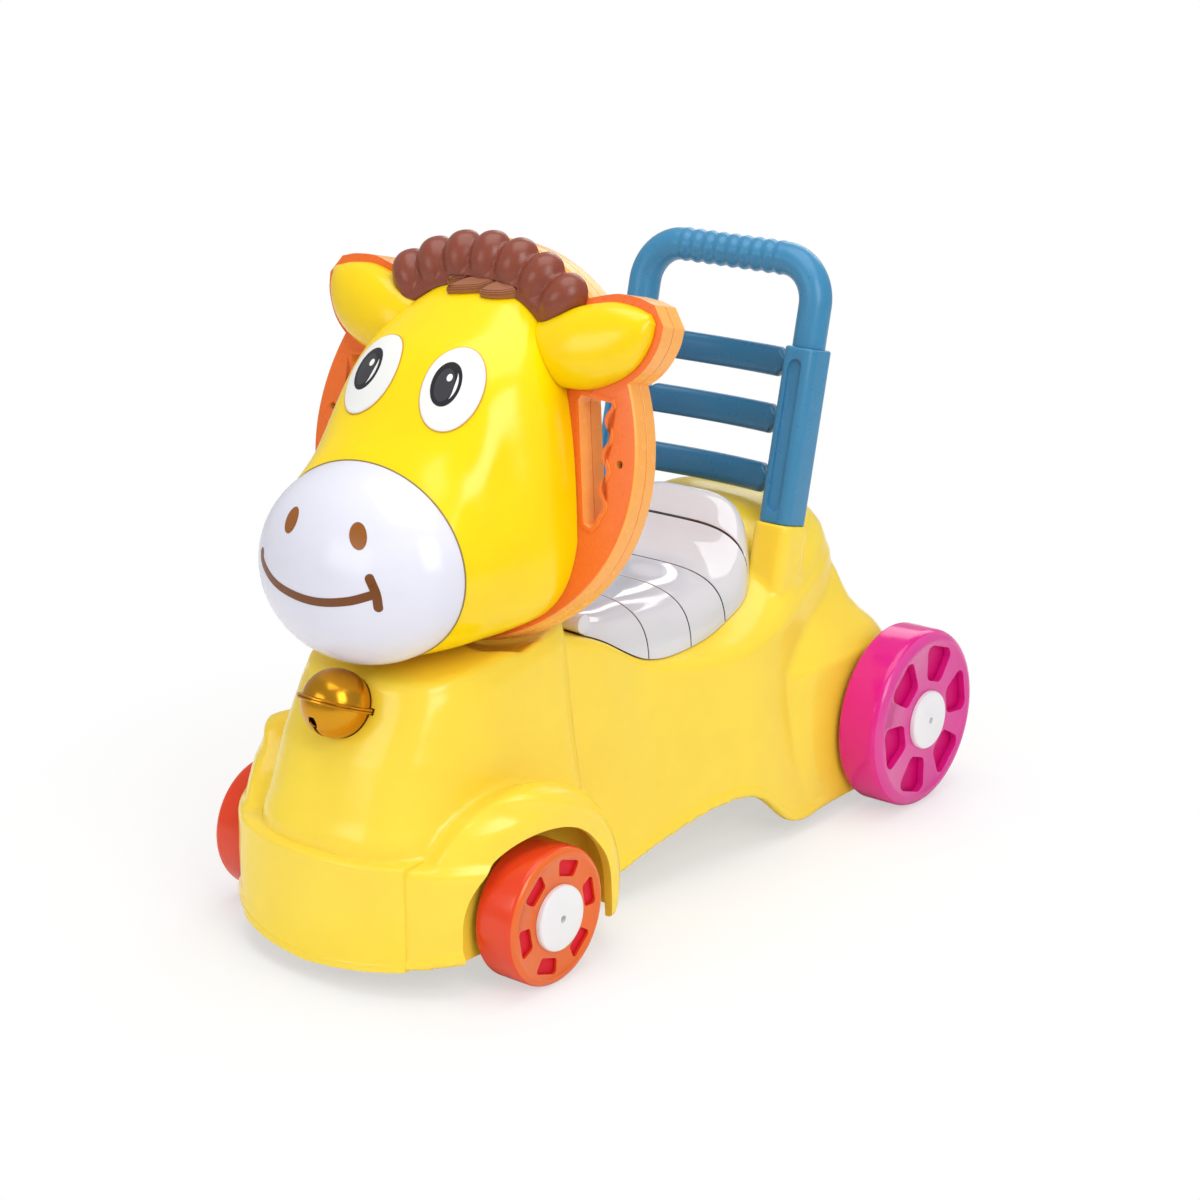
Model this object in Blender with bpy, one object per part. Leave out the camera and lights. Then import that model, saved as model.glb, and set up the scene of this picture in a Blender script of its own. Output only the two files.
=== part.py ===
"""Toddler's ride-on pony scooter with a push handle: every moulded piece as its own closed solid.

Metres, +Z up. The pony faces -Y, its own left side is +X, and Z is 0 on the floor.
"""

import math

import bmesh
import bpy
import numpy as np
from mathutils import Matrix, Vector

# General sizes
WALL = 0.003
SEAT_GAP = 0.0003
RUNNING_GAP = 0.0004
CURVED_GAP = 0.0007

# Pieces whose many tangent forms need the manifold solver
MANIFOLD_PIECES = (
    "body_shell",
    "neck_hollow",
    "seat_lid",
    "forelock",
    "mane",
    "disc_front",
    "disc_back",
    "ear_left",
    "ear_right",
)

# Wheels and axles
FRONT_AXLE_Y = -0.219
FRONT_WHEEL_RADIUS = 0.054
FRONT_WHEEL_WIDTH = 0.037
FRONT_FACE_X = 0.155
FRONT_WINDOW = (0.022, 0.009, 0.36)
REAR_AXLE_Y = 0.251
REAR_WHEEL_RADIUS = 0.078
REAR_WHEEL_WIDTH = 0.041
REAR_FACE_X = 0.181
REAR_WINDOW = (0.044, 0.012, 0.66)
WINDOW_COUNT = 6
WHEEL_STEPS = 20
TREAD_WALL = 0.004
FACE_WALL = 0.004
SHOULDER = 0.009
HUB_RADIUS = 0.011
CAP_RADIUS = 0.0255
CAP_PROUD = 0.005
CAP_BORE = 0.0028
AXLE_RADIUS = 0.004
AXLE_SET_IN = 0.002

# Front envelope in plan, shared by the bumper, the mudguards and their wheel wells
ENVELOPE_CENTRE_Y = -0.18
ENVELOPE_HALF_WIDTH = 0.150
ENVELOPE_DEPTH = 0.1475
ENVELOPE_POWER = 2.2
BUMPER_FOOT = 0.016
FOOT_RISE = ((0.0, 0.0), (0.057, 0.004), (0.09, 0.007), (0.115, 0.011))
BUMPER_TOP = 0.102
BAND_HALF_WIDTH = 0.084
BAND_PROUD = 0.002
LIP = 0.0025
LIP_HEIGHT = 0.006

# Mudguards over the front wheels
GUARD_REACH = 0.110
GUARD_PROFILE = (
    (0.1500, 0.0720),
    (0.1485, 0.0800),
    (0.1430, 0.0885),
    (0.1350, 0.0945),
    (0.1260, 0.0965),
    (0.1160, 0.0950),
    (0.1060, 0.0905),
    (0.0950, 0.0860),
    (0.0850, 0.0830),
)
GUARD_TAPER = ((BUMPER_FOOT, 0.0), (0.078, 0.0), (0.100, 0.006), (0.125, 0.022), (0.155, 0.045), (0.3, 0.045))
WELL_OPENING_RADIUS = 0.066
WELL_INNER_X = 0.1115
WELL_LIP = 0.0075
CAVITY_HALF_WIDTH = 0.108

# Neck: rows of height, half width, front edge and power of the plan outline
NECK_BACK_Y = -0.142
NECK_BACK_DEPTH = 0.042
NECK_TOP = (-0.142, 0.241)
NECK_TOP_SLOPE = math.radians(8.0)
NECK_COLUMNS = 28
NECK_HOLLOW_COLUMNS = 20
NECK_ROWS = (
    (0.030, 0.1075, -0.322, 3.0),
    (0.102, 0.104, -0.321, 3.0),
    (0.130, 0.098, -0.312, 3.1),
    (0.170, 0.090, -0.297, 3.3),
    (0.209, 0.085, -0.283, 3.5),
    (0.232, 0.0825, -0.275, 3.5),
    (0.241, 0.0800, -0.272, 3.5),
)
NECK_CEILING = 0.2163

# Seat body: rows of place along Y, half width at the rim and foot, height of rim and foot, hump of the deck
SEAT_ROWS = (
    (-0.150, 0.070, 0.085, 0.234, 0.030, 0.000),
    (-0.110, 0.079, 0.094, 0.227, 0.020, 0.002),
    (-0.074, 0.086, 0.100, 0.214, 0.026, 0.003),
    (-0.023, 0.091, 0.107, 0.186, 0.040, 0.004),
    (0.039, 0.107, 0.117, 0.173, 0.051, 0.015),
    (0.080, 0.117, 0.126, 0.177, 0.046, 0.018),
    (0.120, 0.118, 0.133, 0.187, 0.014, 0.030),
    (0.171, 0.108, 0.134, 0.203, 0.014, 0.056),
    (0.217, 0.097, 0.128, 0.217, 0.014, 0.048),
    (0.245, 0.078, 0.100, 0.223, 0.014, 0.030),
    (0.259, 0.045, 0.060, 0.225, 0.014, 0.016),
    (0.263, 0.000, 0.000, 0.225, 0.014, 0.010),
)
SEAT_CENTRE_Y = 0.05
DECK_POWER = 5

# Rear skirt over the rear axle: rows of height, half width, front and rear edge
SKIRT_POWER = 5.0
SKIRT_ROWS = (
    (0.014, 0.1355, 0.105, 0.290),
    (0.140, 0.1350, 0.108, 0.287),
    (0.152, 0.1300, 0.114, 0.281),
    (0.162, 0.1200, 0.124, 0.266),
    (0.178, 0.1100, 0.142, 0.253),
    (0.204, 0.0950, 0.172, 0.246),
    (0.214, 0.0850, 0.190, 0.240),
)

# Seat lid: rows of place along Y, half width and crown height
LID_ROWS = (
    (-0.0870, 0.0760, 0.2385),
    (-0.0500, 0.0835, 0.2345),
    (-0.0210, 0.0870, 0.2325),
    (0.0340, 0.0880, 0.2300),
    (0.0810, 0.0880, 0.2320),
    (0.1080, 0.0875, 0.2440),
    (0.1270, 0.0785, 0.2640),
    (0.1420, 0.0660, 0.2780),
    (0.1520, 0.0500, 0.2750),
    (0.1575, 0.0260, 0.2620),
)
LID_POWER = 3.6
LID_POINTS = 11
LID_GROOVES_Y = (-0.021, 0.034, 0.081, 0.122)
LID_GROOVE_WIDTH = 0.0014
LID_GROOVE_DEPTH = 0.0010
LID_HINGE = (-0.088, 0.2315)
LID_BARREL_RADIUS = 0.0075
LID_PIN_RADIUS = 0.002
LID_POST_GAP = 0.001
LID_SEAT_GAP = 0.0011
LUG_X = 0.045
LUG_WIDTH = 0.005
LUG_PATH_RISE = 0.003
LUG_RADIUS = 0.0065

# Storage bin in the deck
BIN_Y = (-0.043, 0.103)
BIN_HALF_WIDTH = 0.0565
BIN_FLANGE = 0.008
BIN_LEDGE_Z = 0.174
BIN_FLANGE_THICKNESS = 0.0025
BIN_FLOOR_Z = 0.068
BIN_WALL = 0.002
BIN_CORNER = 0.014

# Chassis plate, its saddles and its screws
CHASSIS_Z = (0.0600, 0.0630)
CHASSIS_OUTLINE = (
    (0.000, -0.312),
    (0.050, -0.304),
    (0.090, -0.276),
    (0.0995, -0.255),
    (0.0995, -0.160),
    (0.082, -0.128),
    (0.082, 0.030),
    (0.104, 0.075),
    (0.116, 0.105),
    (0.116, 0.256),
    (0.102, 0.270),
    (0.000, 0.278),
)
SADDLE_WALL = 0.008
FRONT_SADDLE_X = 0.085
REAR_SADDLE_X = 0.100
SADDLE_WIDTH = 0.016
COLUMN_RADIUS = 0.006
COLUMNS = ((0.050, -0.299, 0.127), (0.070, 0.225, 0.2535))
SCREW_RADIUS = 0.0018
SCREW_HEAD_RADIUS = 0.0042
SCREW_HEAD_HEIGHT = 0.0022
SCREW_LENGTH = 0.014

# Disc behind the head
DISC_FOOT = (-0.17033, 0.22854)
DISC_TILT = math.radians(13.5)
DISC_RADIUS = 0.1535
DISC_RUN = (math.sin(DISC_TILT), math.cos(DISC_TILT))
DISC_CENTRE = (DISC_FOOT[0] + DISC_RADIUS * DISC_RUN[0], DISC_FOOT[1] + DISC_RADIUS * DISC_RUN[1])
DISC_THICKNESS = 0.0265
DISC_LIP_RADIUS = 0.0030
DISC_SWELL = 0.0085
DISC_SWELL_PLACE = (-20.0, 32.0)
DISC_COLUMNS = 44
BACKING_MARGIN = 0.006
LOBE_COUNT = 7
LOBE_STEP = 11.0
SLOT_TOP = 0.046
SLOT_BOTTOM = -0.042
SLOT_INNER_X = (DISC_RADIUS - 0.0545, DISC_RADIUS - 0.0350)
SLOT_OUTER_X = (DISC_RADIUS - 0.0260, DISC_RADIUS - 0.0200)
SLOT_WAVE = 0.0028
SLOT_WAVE_COUNT = 3.5
SLOT_COLLAR = 0.004
DISC_SCREW_X = DISC_RADIUS - 0.0098
DISC_SCREW_UP = 0.003
DISC_SCREW_HOLE = 0.0032
DISC_SCREW_HEAD = (0.0028, 0.0020)
DISC_SCREW_SHANK = 0.0013
DISC_SCREW_SEAT = 0.0090
DISC_BOSS_RADIUS = 0.0062

# Head: rows of centre along Y, centre height, tilt, half width of the brow, upper and lower height,
# narrowing to the top, powers of the upper and lower half, and half width of the cheeks
HEAD_ROWS = (
    (-0.1487, 0.3200, 13.5, 0.1165, 0.1870, 0.0800, 0.33, 2.80, 2.7, 0.1165),
    (-0.1750, 0.3180, 10.0, 0.1145, 0.1610, 0.0780, 0.23, 3.70, 2.7, 0.1140),
    (-0.2000, 0.3150, 5.0, 0.0950, 0.1370, 0.0760, 0.07, 3.10, 2.6, 0.1080),
    (-0.2250, 0.3115, 3.0, 0.0960, 0.0983, 0.0745, 0.09, 2.45, 2.4, 0.1020),
    (-0.2497, 0.3088, 2.5, 0.0949, 0.0735, 0.0735, 0.00, 2.00, 2.0, 0.0949),
)
SEAM_TILT = math.radians(2.5)
HEAD_COLUMNS = 28
BROW_START = 0.55
MUZZLE_REACH = (-0.0623, -0.0104)
MUZZLE_BANDS = 6
EYE_CENTRE = (0.0398, -0.200, 0.4357)
EYE_FACING = (0.17, -0.80, 0.57)
EYE_WIDTH = 0.053
EYE_HEIGHT = 0.069
EYE_PROUD = 0.0022

# Swivel of the head on the neck
SWIVEL_Y = -0.195
SWIVEL_FLANGE_RADIUS = 0.0235
SWIVEL_PIN_RADIUS = 0.0125
SWIVEL_PIN_FOOT = 0.2158
SWIVEL_WASHER_RADIUS = 0.021
SWIVEL_WASHER_THICKNESS = 0.0025
DISH_CLEARANCE = 0.003
DISH_RADIUS = 0.13
DISH_FLOOR = 0.2193

# Ear, mane and forelock pieces on the disc's front face
EAR_RUN = ((0.058, 0.076), (0.115, 0.074), (0.163, 0.1055))
EAR_ROWS = (
    (0.00, 0.0220, 0.020),
    (0.22, 0.0280, 0.024),
    (0.45, 0.0310, 0.024),
    (0.72, 0.0270, 0.019),
    (0.90, 0.0160, 0.013),
    (1.00, 0.0040, 0.006),
)
EAR_SEAT_FOOT = -0.01
MANE_RADIUS = DISC_RADIUS - 0.0255
MANE_LOBE = (0.0168, 0.0300, 0.0200)
FORELOCK_PLACE = (0.0, -0.132, 0.488)
FORELOCK_FACING = (0.0, -0.5, 0.866)
FORELOCK_LOCKS = (
    (
        (-0.031, 0.007),
        (-0.024, 0.017),
        (-0.012, 0.028),
        (0.006, 0.034),
        (0.010, 0.026),
        (-0.004, 0.020),
        (-0.018, 0.012),
    ),
    (
        (-0.025, -0.002),
        (-0.019, 0.008),
        (-0.006, 0.019),
        (0.012, 0.029),
        (0.020, 0.018),
        (0.010, 0.006),
        (-0.008, 0.001),
    ),
    (
        (0.006, 0.001),
        (0.014, 0.013),
        (0.022, 0.022),
        (0.034, 0.019),
        (0.041, 0.011),
        (0.030, 0.003),
        (0.018, 0.000),
    ),
)
FORELOCK_PROUD = 0.0035

# Jingle bell on the neck
BELL_CENTRE = (-0.2885, 0.208)
BELL_LEAN = math.radians(22.0)
BELL_RADIUS = 0.0262
BELL_WALL = 0.0014
BELL_FLANGE_PROUD = 0.0032
BELL_FLANGE_THICKNESS = 0.0018
BELL_POCKET_GAP = 0.0008
BELL_POCKET_WALL = 0.003
BELL_PELLET_RADIUS = 0.005
BELL_SLOT_WIDTH = 0.0030
BELL_SLOT_HOLE = 0.0038
BELL_BOLT_RISE = 0.0

# Push handle
HANDLE_FOOT = (0.1583, 0.2589)
HANDLE_LEAN = math.atan(0.238)
HANDLE_LEG_X = 0.0884
HANDLE_TUBE_RADIUS = 0.0138
HANDLE_CORNER_RADIUS = 0.036
HANDLE_HEIGHT = 0.2176
TUBE_SIDES = 10
SLEEVE_SIZE = (0.031, 0.034)
SLEEVE_LENGTH = 0.147
SLEEVE_CORNER = 0.009
LEG_SOCKET_DEPTH = 0.040
SPIGOT_RADIUS = 0.0105
SLEEVE_FLOOR = 0.006
SLEEVE_TENON_RADIUS = 0.0095
SLEEVE_TENON_LENGTH = 0.022
POST_SIZE = (0.036, 0.038)
POST_DEPTH = 0.060
SLEEVE_SLOT = (0.013, 0.0030)
RUNG_HEIGHTS = (0.2313 * SLEEVE_LENGTH, 0.5714 * SLEEVE_LENGTH, 0.8980 * SLEEVE_LENGTH)
RUNG_BOW = 0.016
RUNG_SECTION = (0.0075, 0.0125)
RUNG_END_RADIUS = 0.0060
RUNG_SEAT_DEPTH = 0.0035
GRIP_HALF_LENGTH = 0.055
GRIP_RIDGES = 9
GRIP_RIDGE_PROUD = 0.0012


def clear_scene():
    for old in list(bpy.data.objects):
        bpy.data.objects.remove(old, do_unlink=True)


def material(name, colour, roughness=0.3, metallic=0.0):
    made = bpy.data.materials.new(name)
    made.use_nodes = True
    shader = made.node_tree.nodes["Principled BSDF"]
    shader.inputs["Base Color"].default_value = (*colour, 1.0)
    shader.inputs["Roughness"].default_value = roughness
    shader.inputs["Metallic"].default_value = metallic
    return made


def mesh_object(name, points, faces, finish=None):
    """A mesh from points and faces, turned outwards. Quads are all split the same way, so offset forms nest."""
    mesh = bpy.data.meshes.new(name)
    mesh.from_pydata([tuple(map(float, point)) for point in points], [], faces)
    built = bmesh.new()
    built.from_mesh(mesh)
    bmesh.ops.remove_doubles(built, verts=built.verts, dist=1e-6)
    bmesh.ops.recalc_face_normals(built, faces=built.faces)
    curved = [face for face in built.faces if len(face.verts) == 4]
    bmesh.ops.triangulate(built, faces=curved, quad_method="FIXED")
    built.to_mesh(mesh)
    built.free()
    mesh.shade_smooth()
    mesh.set_sharp_from_angle(angle=math.radians(32))
    made = bpy.data.objects.new(name, mesh)
    bpy.context.scene.collection.objects.link(made)
    if finish:
        mesh.materials.append(finish)
    return made


def helper(made):
    """Marks a cutter or a joining form, which is no piece of the toy."""
    made.hide_render = True
    made.display_type = "WIRE"
    return made


def combine(target, other, operation):
    step = target.modifiers.new(f"{operation.lower()} {other.name}", "BOOLEAN")
    step.operation = operation
    step.solver = "MANIFOLD" if target.name in MANIFOLD_PIECES else "EXACT"
    step.object = helper(other)


def cut(target, *cutters):
    for cutter in cutters:
        combine(target, cutter, "DIFFERENCE")


def join(target, *others):
    for other in others:
        combine(target, other, "UNION")


def placed(points, frame):
    flat = np.asarray(points, float).reshape(-1, 3)
    matrix = np.array(frame)
    return (flat @ matrix[:3, :3].T + matrix[:3, 3]).reshape(np.shape(points))


def stacked(name, rings, finish=None, looped=False, paired=False):
    """A solid through closed rings of equally many points, capped at both ends unless looped.

    Paired rings are symmetric, and their caps are strips that join each point to its mirror image.
    """
    rings = np.asarray(rings, float)
    count, columns = rings.shape[:2]
    faces = []
    for row in range(count if looped else count - 1):
        here = row * columns
        there = (row + 1) % count * columns
        for column in range(columns):
            beside = (column + 1) % columns
            faces.append((here + column, here + beside, there + beside, there + column))
    for start in () if looped else (0, (count - 1) * columns):
        if not paired:
            faces.append(tuple(range(start, start + columns)))
            continue
        last = start + columns - 1
        for step in range(columns // 2):
            strip = (start + step, start + step + 1, last - step - 1, last - step)
            faces.append(tuple(dict.fromkeys(strip)))
    return mesh_object(name, rings.reshape(-1, 3), faces, finish)


def prism(name, outline, low, high, frame=Matrix(), finish=None):
    outline = np.asarray(outline, float)
    rings = [np.column_stack([outline, np.full(len(outline), level)]) for level in (low, high)]
    return stacked(name, placed(rings, frame), finish)


def turned(name, profile, frame=Matrix(), steps=24, finish=None, looped=False):
    """A profile of radius and height turned about the frame's Z axis."""
    angles = np.arange(steps) * 2 * math.pi / steps
    rings = []
    for radius, height in profile:
        ring = np.column_stack([radius * np.cos(angles), radius * np.sin(angles), np.full(steps, height)])
        rings.append(ring)
    return stacked(name, placed(rings, frame), finish, looped)


def hull(name, points):
    """The smallest solid without hollows that holds the points."""
    built = bmesh.new()
    for point in points:
        built.verts.new(point)
    found = bmesh.ops.convex_hull(built, input=built.verts)
    inside = set(found["geom_interior"] + found["geom_unused"])
    bmesh.ops.delete(built, geom=list(inside), context="VERTS")
    corners = [tuple(corner.co) for corner in built.verts]
    built.verts.index_update()
    faces = [tuple(corner.index for corner in face.verts) for face in built.faces]
    built.free()
    return mesh_object(name, corners, faces)


def rod(name, radius, low, high, frame=Matrix(), steps=24, finish=None):
    return turned(name, ((radius, low), (radius, high)), frame, steps, finish)


def block(name, corner, opposite, frame=Matrix(), finish=None):
    (x, y), (far_x, far_y) = corner[:2], opposite[:2]
    outline = ((x, y), (far_x, y), (far_x, far_y), (x, far_y))
    return prism(name, outline, corner[2], opposite[2], frame, finish)


def ball(name, radius, centre, steps=24, bands=12, finish=None):
    angles = np.linspace(0, math.pi, bands + 1)
    profile = [(radius * math.sin(angle), -radius * math.cos(angle)) for angle in angles]
    return turned(name, profile, Matrix.Translation(centre), steps, finish)


def along_x(y, z):
    """A frame whose Z axis runs along world X through a point."""
    return Matrix(((0, 0, 1, 0), (1, 0, 0, y), (0, 1, 0, z), (0, 0, 0, 1)))


def leaning(centre, angle):
    """A frame at a point of the middle plane, its Y axis up along a plane that leans back by an angle."""
    s, c = math.sin(angle), math.cos(angle)
    return Matrix(((1, 0, 0, 0), (0, s, -c, centre[0]), (0, c, s, centre[1]), (0, 0, 0, 1)))


def mirrored(points):
    return np.asarray(points, float) * np.array([-1.0, 1.0, 1.0])[: np.shape(points)[-1]]


def smooth_rows(rows, samples):
    """Rows joined by a smooth curve through each of them, with so many samples a span."""
    rows = np.asarray(rows, float)
    slopes = np.gradient(rows, axis=0)
    steps = np.arange(samples)[:, None] / samples
    weights = (
        2 * steps**3 - 3 * steps**2 + 1,
        steps**3 - 2 * steps**2 + steps,
        -2 * steps**3 + 3 * steps**2,
        steps**3 - steps**2,
    )
    spans = []
    for row in range(len(rows) - 1):
        ends = (rows[row], slopes[row], rows[row + 1], slopes[row + 1])
        spans.append(sum(weight * end for weight, end in zip(weights, ends)))
    spans.append(rows[-1:])
    return np.concatenate(spans)


def offset_outline(outline, distance):
    """A closed outline moved outwards by a distance, square to its own run."""
    run = np.roll(outline, -1, axis=0) - np.roll(outline, 1, axis=0)
    run /= np.linalg.norm(run, axis=1)[:, None]
    area = np.sum(outline[:, 0] * np.roll(outline[:, 1], -1) - outline[:, 1] * np.roll(outline[:, 0], -1))
    return outline + distance * math.copysign(1, area) * np.column_stack([run[:, 1], -run[:, 0]])


def power_outline(half_width, front, back, centre, power, count=48):
    """A closed plan outline: |x / width| ** power + |y / depth| ** power = 1, unlike in front and behind."""
    angles = np.arange(count) * 2 * math.pi / count
    cosine = np.sign(np.cos(angles)) * np.abs(np.cos(angles)) ** (2 / power)
    sine = np.sign(np.sin(angles)) * np.abs(np.sin(angles)) ** (2 / power)
    depth = np.where(sine < 0, centre - front, back - centre)
    return np.column_stack([half_width * cosine, centre + depth * sine])


def level_ring(outline, height):
    return np.column_stack([outline, np.broadcast_to(height, len(outline))])


def rounded_box(half_x, half_y, corner, centre=(0.0, 0.0), arc=4):
    points = []
    for quarter, (side_x, side_y) in enumerate(((1, 1), (-1, 1), (-1, -1), (1, -1))):
        for step in range(arc + 1):
            angle = math.pi / 2 * (quarter + step / arc)
            x = side_x * (half_x - corner) + corner * math.cos(angle)
            y = side_y * (half_y - corner) + corner * math.sin(angle)
            points.append((centre[0] + x, centre[1] + y))
    return points


# Body forms. Each takes an inset, so that the same form gives the outside and the hollow


def neck_form(name, inset):
    """Stacked plan outlines. The hollow one stops at the ceiling under the dish."""
    rings = []
    for height, half_width, front, power in NECK_ROWS:
        if inset >= WALL and height > NECK_CEILING:
            break
        back = NECK_BACK_Y + NECK_BACK_DEPTH
        columns = NECK_COLUMNS if inset < WALL else NECK_HOLLOW_COLUMNS
        outline = power_outline(half_width - inset, front + inset, back, NECK_BACK_Y, power, columns)
        rings.append(level_ring(outline, height))
    if inset >= WALL:
        rings.append(level_ring(rings[-1][:, :2], NECK_CEILING))
        rings.insert(0, level_ring(rings[0][:, :2], -0.01))
    return stacked(name, rings)


def envelope_outline(inset=0.0):
    """The front half of the envelope, then straight sides back to the seat body."""
    outline = power_outline(
        ENVELOPE_HALF_WIDTH - min(inset, WALL),
        ENVELOPE_CENTRE_Y - ENVELOPE_DEPTH + inset,
        ENVELOPE_CENTRE_Y + ENVELOPE_DEPTH,
        ENVELOPE_CENTRE_Y,
        ENVELOPE_POWER,
        40,
    )
    front = outline[outline[:, 1] <= ENVELOPE_CENTRE_Y + 1e-9]
    front = front[np.argsort(front[:, 0])]
    back_y = FRONT_AXLE_Y + GUARD_REACH
    return np.vstack([front, [(front[-1, 0], back_y), (front[0, 0], back_y)]])


def on_foot(outline, height=0.0):
    """An outline set on the bumper's foot, which rises to both sides."""
    reach, rise = np.array(FOOT_RISE).T
    return np.column_stack([outline, BUMPER_FOOT + height + np.interp(np.abs(outline[:, 0]), reach, rise)])


def bumper_form(name, inset):
    outline = envelope_outline(inset)
    outline = outline[outline[:, 1] <= ENVELOPE_CENTRE_Y + 1e-9]
    if inset:
        outline[:, 0] = np.clip(outline[:, 0], -CAVITY_HALF_WIDTH, CAVITY_HALF_WIDTH)
        return stacked(name, [level_ring(outline, -0.01), level_ring(outline, BUMPER_TOP - inset)])
    front = offset_outline(outline, LIP)
    top = offset_outline(outline, -0.002)
    edge = offset_outline(outline, -0.006)
    rings = (
        on_foot(front),
        on_foot(front, LIP_HEIGHT),
        on_foot(outline, LIP_HEIGHT + 0.002),
        level_ring(outline, BUMPER_TOP - 0.007),
        level_ring(top, BUMPER_TOP - 0.002),
        level_ring(edge, BUMPER_TOP),
    )
    return stacked(name, rings)


def band_form(name):
    """The raised middle of the bumper."""
    outline = envelope_outline()
    outline = outline[(np.abs(outline[:, 0]) < BAND_HALF_WIDTH) & (outline[:, 1] < ENVELOPE_CENTRE_Y)]
    raised = outline.copy()
    raised[:, 1] -= BAND_PROUD
    ends = [(raised[-1, 0], raised[-1, 1] + 0.03), (raised[0, 0], raised[0, 1] + 0.03)]
    low = np.vstack([raised, ends])
    top = low.copy()
    top[:-2, 1] += 0.004
    rings = (
        on_foot(low, LIP_HEIGHT + 0.002),
        level_ring(low, BUMPER_TOP - 0.004),
        level_ring(top, BUMPER_TOP + 0.001),
    )
    return stacked(name, rings)


def guard_clip(name, margin=0.0):
    """The space within the plan envelope, which draws in with height. With a margin it is open downwards."""
    rings = [level_ring(envelope_outline(inset + margin), height) for height, inset in GUARD_TAPER]
    rings[0] = on_foot(envelope_outline(margin))
    if margin:
        rings[0][:, 2] = -0.05
    return stacked(name, rings)


def guard_form(name):
    """Both mudguards as one barrel about the front axle, clipped by the plan envelope."""
    profile = [(radius, -x) for x, radius in GUARD_PROFILE]
    profile += [(radius, x) for x, radius in reversed(GUARD_PROFILE)]
    barrel = turned(name, profile, along_x(FRONT_AXLE_Y, FRONT_WHEEL_RADIUS), 28)
    combine(barrel, guard_clip(f"{name}_clip"), "INTERSECT")
    return barrel


def guard_radius(x):
    places, radii = np.array(GUARD_PROFILE[::-1]).T
    return np.interp(x, places, radii)


def well_form(name, side):
    """The space round a front wheel: a roomy drum inside, and the round opening in the outer face."""
    frame = along_x(FRONT_AXLE_Y, FRONT_WHEEL_RADIUS)
    inner, outer = WELL_INNER_X, ENVELOPE_HALF_WIDTH - WELL_LIP
    low, high = (inner, outer) if side > 0 else (-outer, -inner)
    places = np.linspace(low, high, 4)
    profile = [(guard_radius(abs(x)) - WALL, x) for x in places]
    drum = turned(name, profile, frame, 24)
    combine(drum, guard_clip(f"{name}_clip", WALL), "INTERSECT")
    return drum


def well_opening(name, side):
    """The wheel opening: an arch that runs straight down below the axle."""
    arc = np.linspace(0, math.pi, 17)
    y = FRONT_AXLE_Y + 0.003 + WELL_OPENING_RADIUS * np.cos(arc)
    z = FRONT_WHEEL_RADIUS + WELL_OPENING_RADIUS * np.sin(arc)
    outline = np.vstack([np.column_stack([y, z]), [(y[-1], -0.05), (y[0] + 0.006, -0.05)]])
    low, high = sorted((side * (WELL_INNER_X + 0.0005), side * 0.2))
    return prism(name, outline, low, high, along_x(0.0, 0.0))


def seat_table(samples):
    half = smooth_rows(SEAT_ROWS, samples)
    half[:, 1:3] = np.maximum(half[:, 1:3], 0.0)
    return half


def deck_height(x, y):
    """Height of the deck: the rim's height at that place along Y, plus the hump, which falls off sideways."""
    table = seat_table(8)
    half_width, rim, hump = (np.interp(y, table[:, 0], table[:, column]) for column in (1, 3, 5))
    share = np.clip(np.abs(x) / np.maximum(half_width, 0.001), 0, 1)
    return rim + hump * (1 - share**DECK_POWER)


def seat_form(name, inset=0.0, lift=0.0, floor=None, samples=2):
    """The seat body: a wall from foot to rim all round, closed by the deck. Lift raises the deck alone."""
    half = seat_table(samples)
    other = half[-2::-1] * np.array([1.0, -1.0, -1.0, 1.0, 1.0, 1.0])
    y, rim_x, foot_x, rim_z, foot_z = np.vstack([half, other]).T[:5]
    rim = offset_outline(np.column_stack([rim_x, y]), -inset)
    foot = offset_outline(np.column_stack([foot_x, y]), -inset)
    top = rim_z - inset + lift
    bottom = foot_z if floor is None else np.full(len(y), floor)
    rings = []
    if floor is None:
        lip = offset_outline(foot, LIP)
        rings.append(np.column_stack([lip, bottom]))
        rings.append(np.column_stack([lip, bottom + LIP_HEIGHT]))
        bottom = bottom + LIP_HEIGHT + 0.002
    for share in (0.0, 0.5):
        rings.append(np.column_stack([foot + (rim - foot) * share, bottom + (top - 0.008 - bottom) * share]))
    rings.append(np.column_stack([rim, top - 0.008]))
    rings.append(np.column_stack([offset_outline(rim, -0.002), top - 0.0025]))
    for scale in (0.93, 0.80, 0.50, 0.05):
        shrunk = rim * scale + np.array([0.0, SEAT_CENTRE_Y * (1 - scale)])
        rings.append(np.column_stack([shrunk, deck_height(*shrunk.T) - inset + lift]))
    return stacked(name, rings, paired=True)


def skirt_form(name, inset=0.0):
    rings = []
    for height, half_width, front, back in SKIRT_ROWS:
        columns = 16 if inset else 24
        centre = (front + back) / 2
        outline = power_outline(half_width - inset, front + inset, back - inset, centre, SKIRT_POWER, columns)
        rings.append(level_ring(outline, height - inset))
    if inset:
        rings.insert(0, level_ring(rings[0][:, :2], -0.01))
    return stacked(name, rings)


def handle_frame(side=0):
    """Z runs up the leaning handle from the sleeves' foot, and Y points back."""
    s, c = math.sin(HANDLE_LEAN), math.cos(HANDLE_LEAN)
    foot_y, foot_z = HANDLE_FOOT
    return Matrix(((1, 0, 0, side * HANDLE_LEG_X), (0, c, s, foot_y), (0, -s, c, foot_z), (0, 0, 0, 1)))


def post_form(name, side, margin=0.0, top=-SEAT_GAP):
    outline = rounded_box(POST_SIZE[0] / 2 + margin, POST_SIZE[1] / 2 + margin, SLEEVE_CORNER + margin, arc=3)
    return prism(name, outline, -POST_DEPTH, top, handle_frame(side))


def bell_frame():
    s, c = math.sin(BELL_LEAN), math.cos(BELL_LEAN)
    return Matrix(((1, 0, 0, 0), (0, c, s, BELL_CENTRE[0]), (0, -s, c, BELL_CENTRE[1]), (0, 0, 0, 1)))


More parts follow.
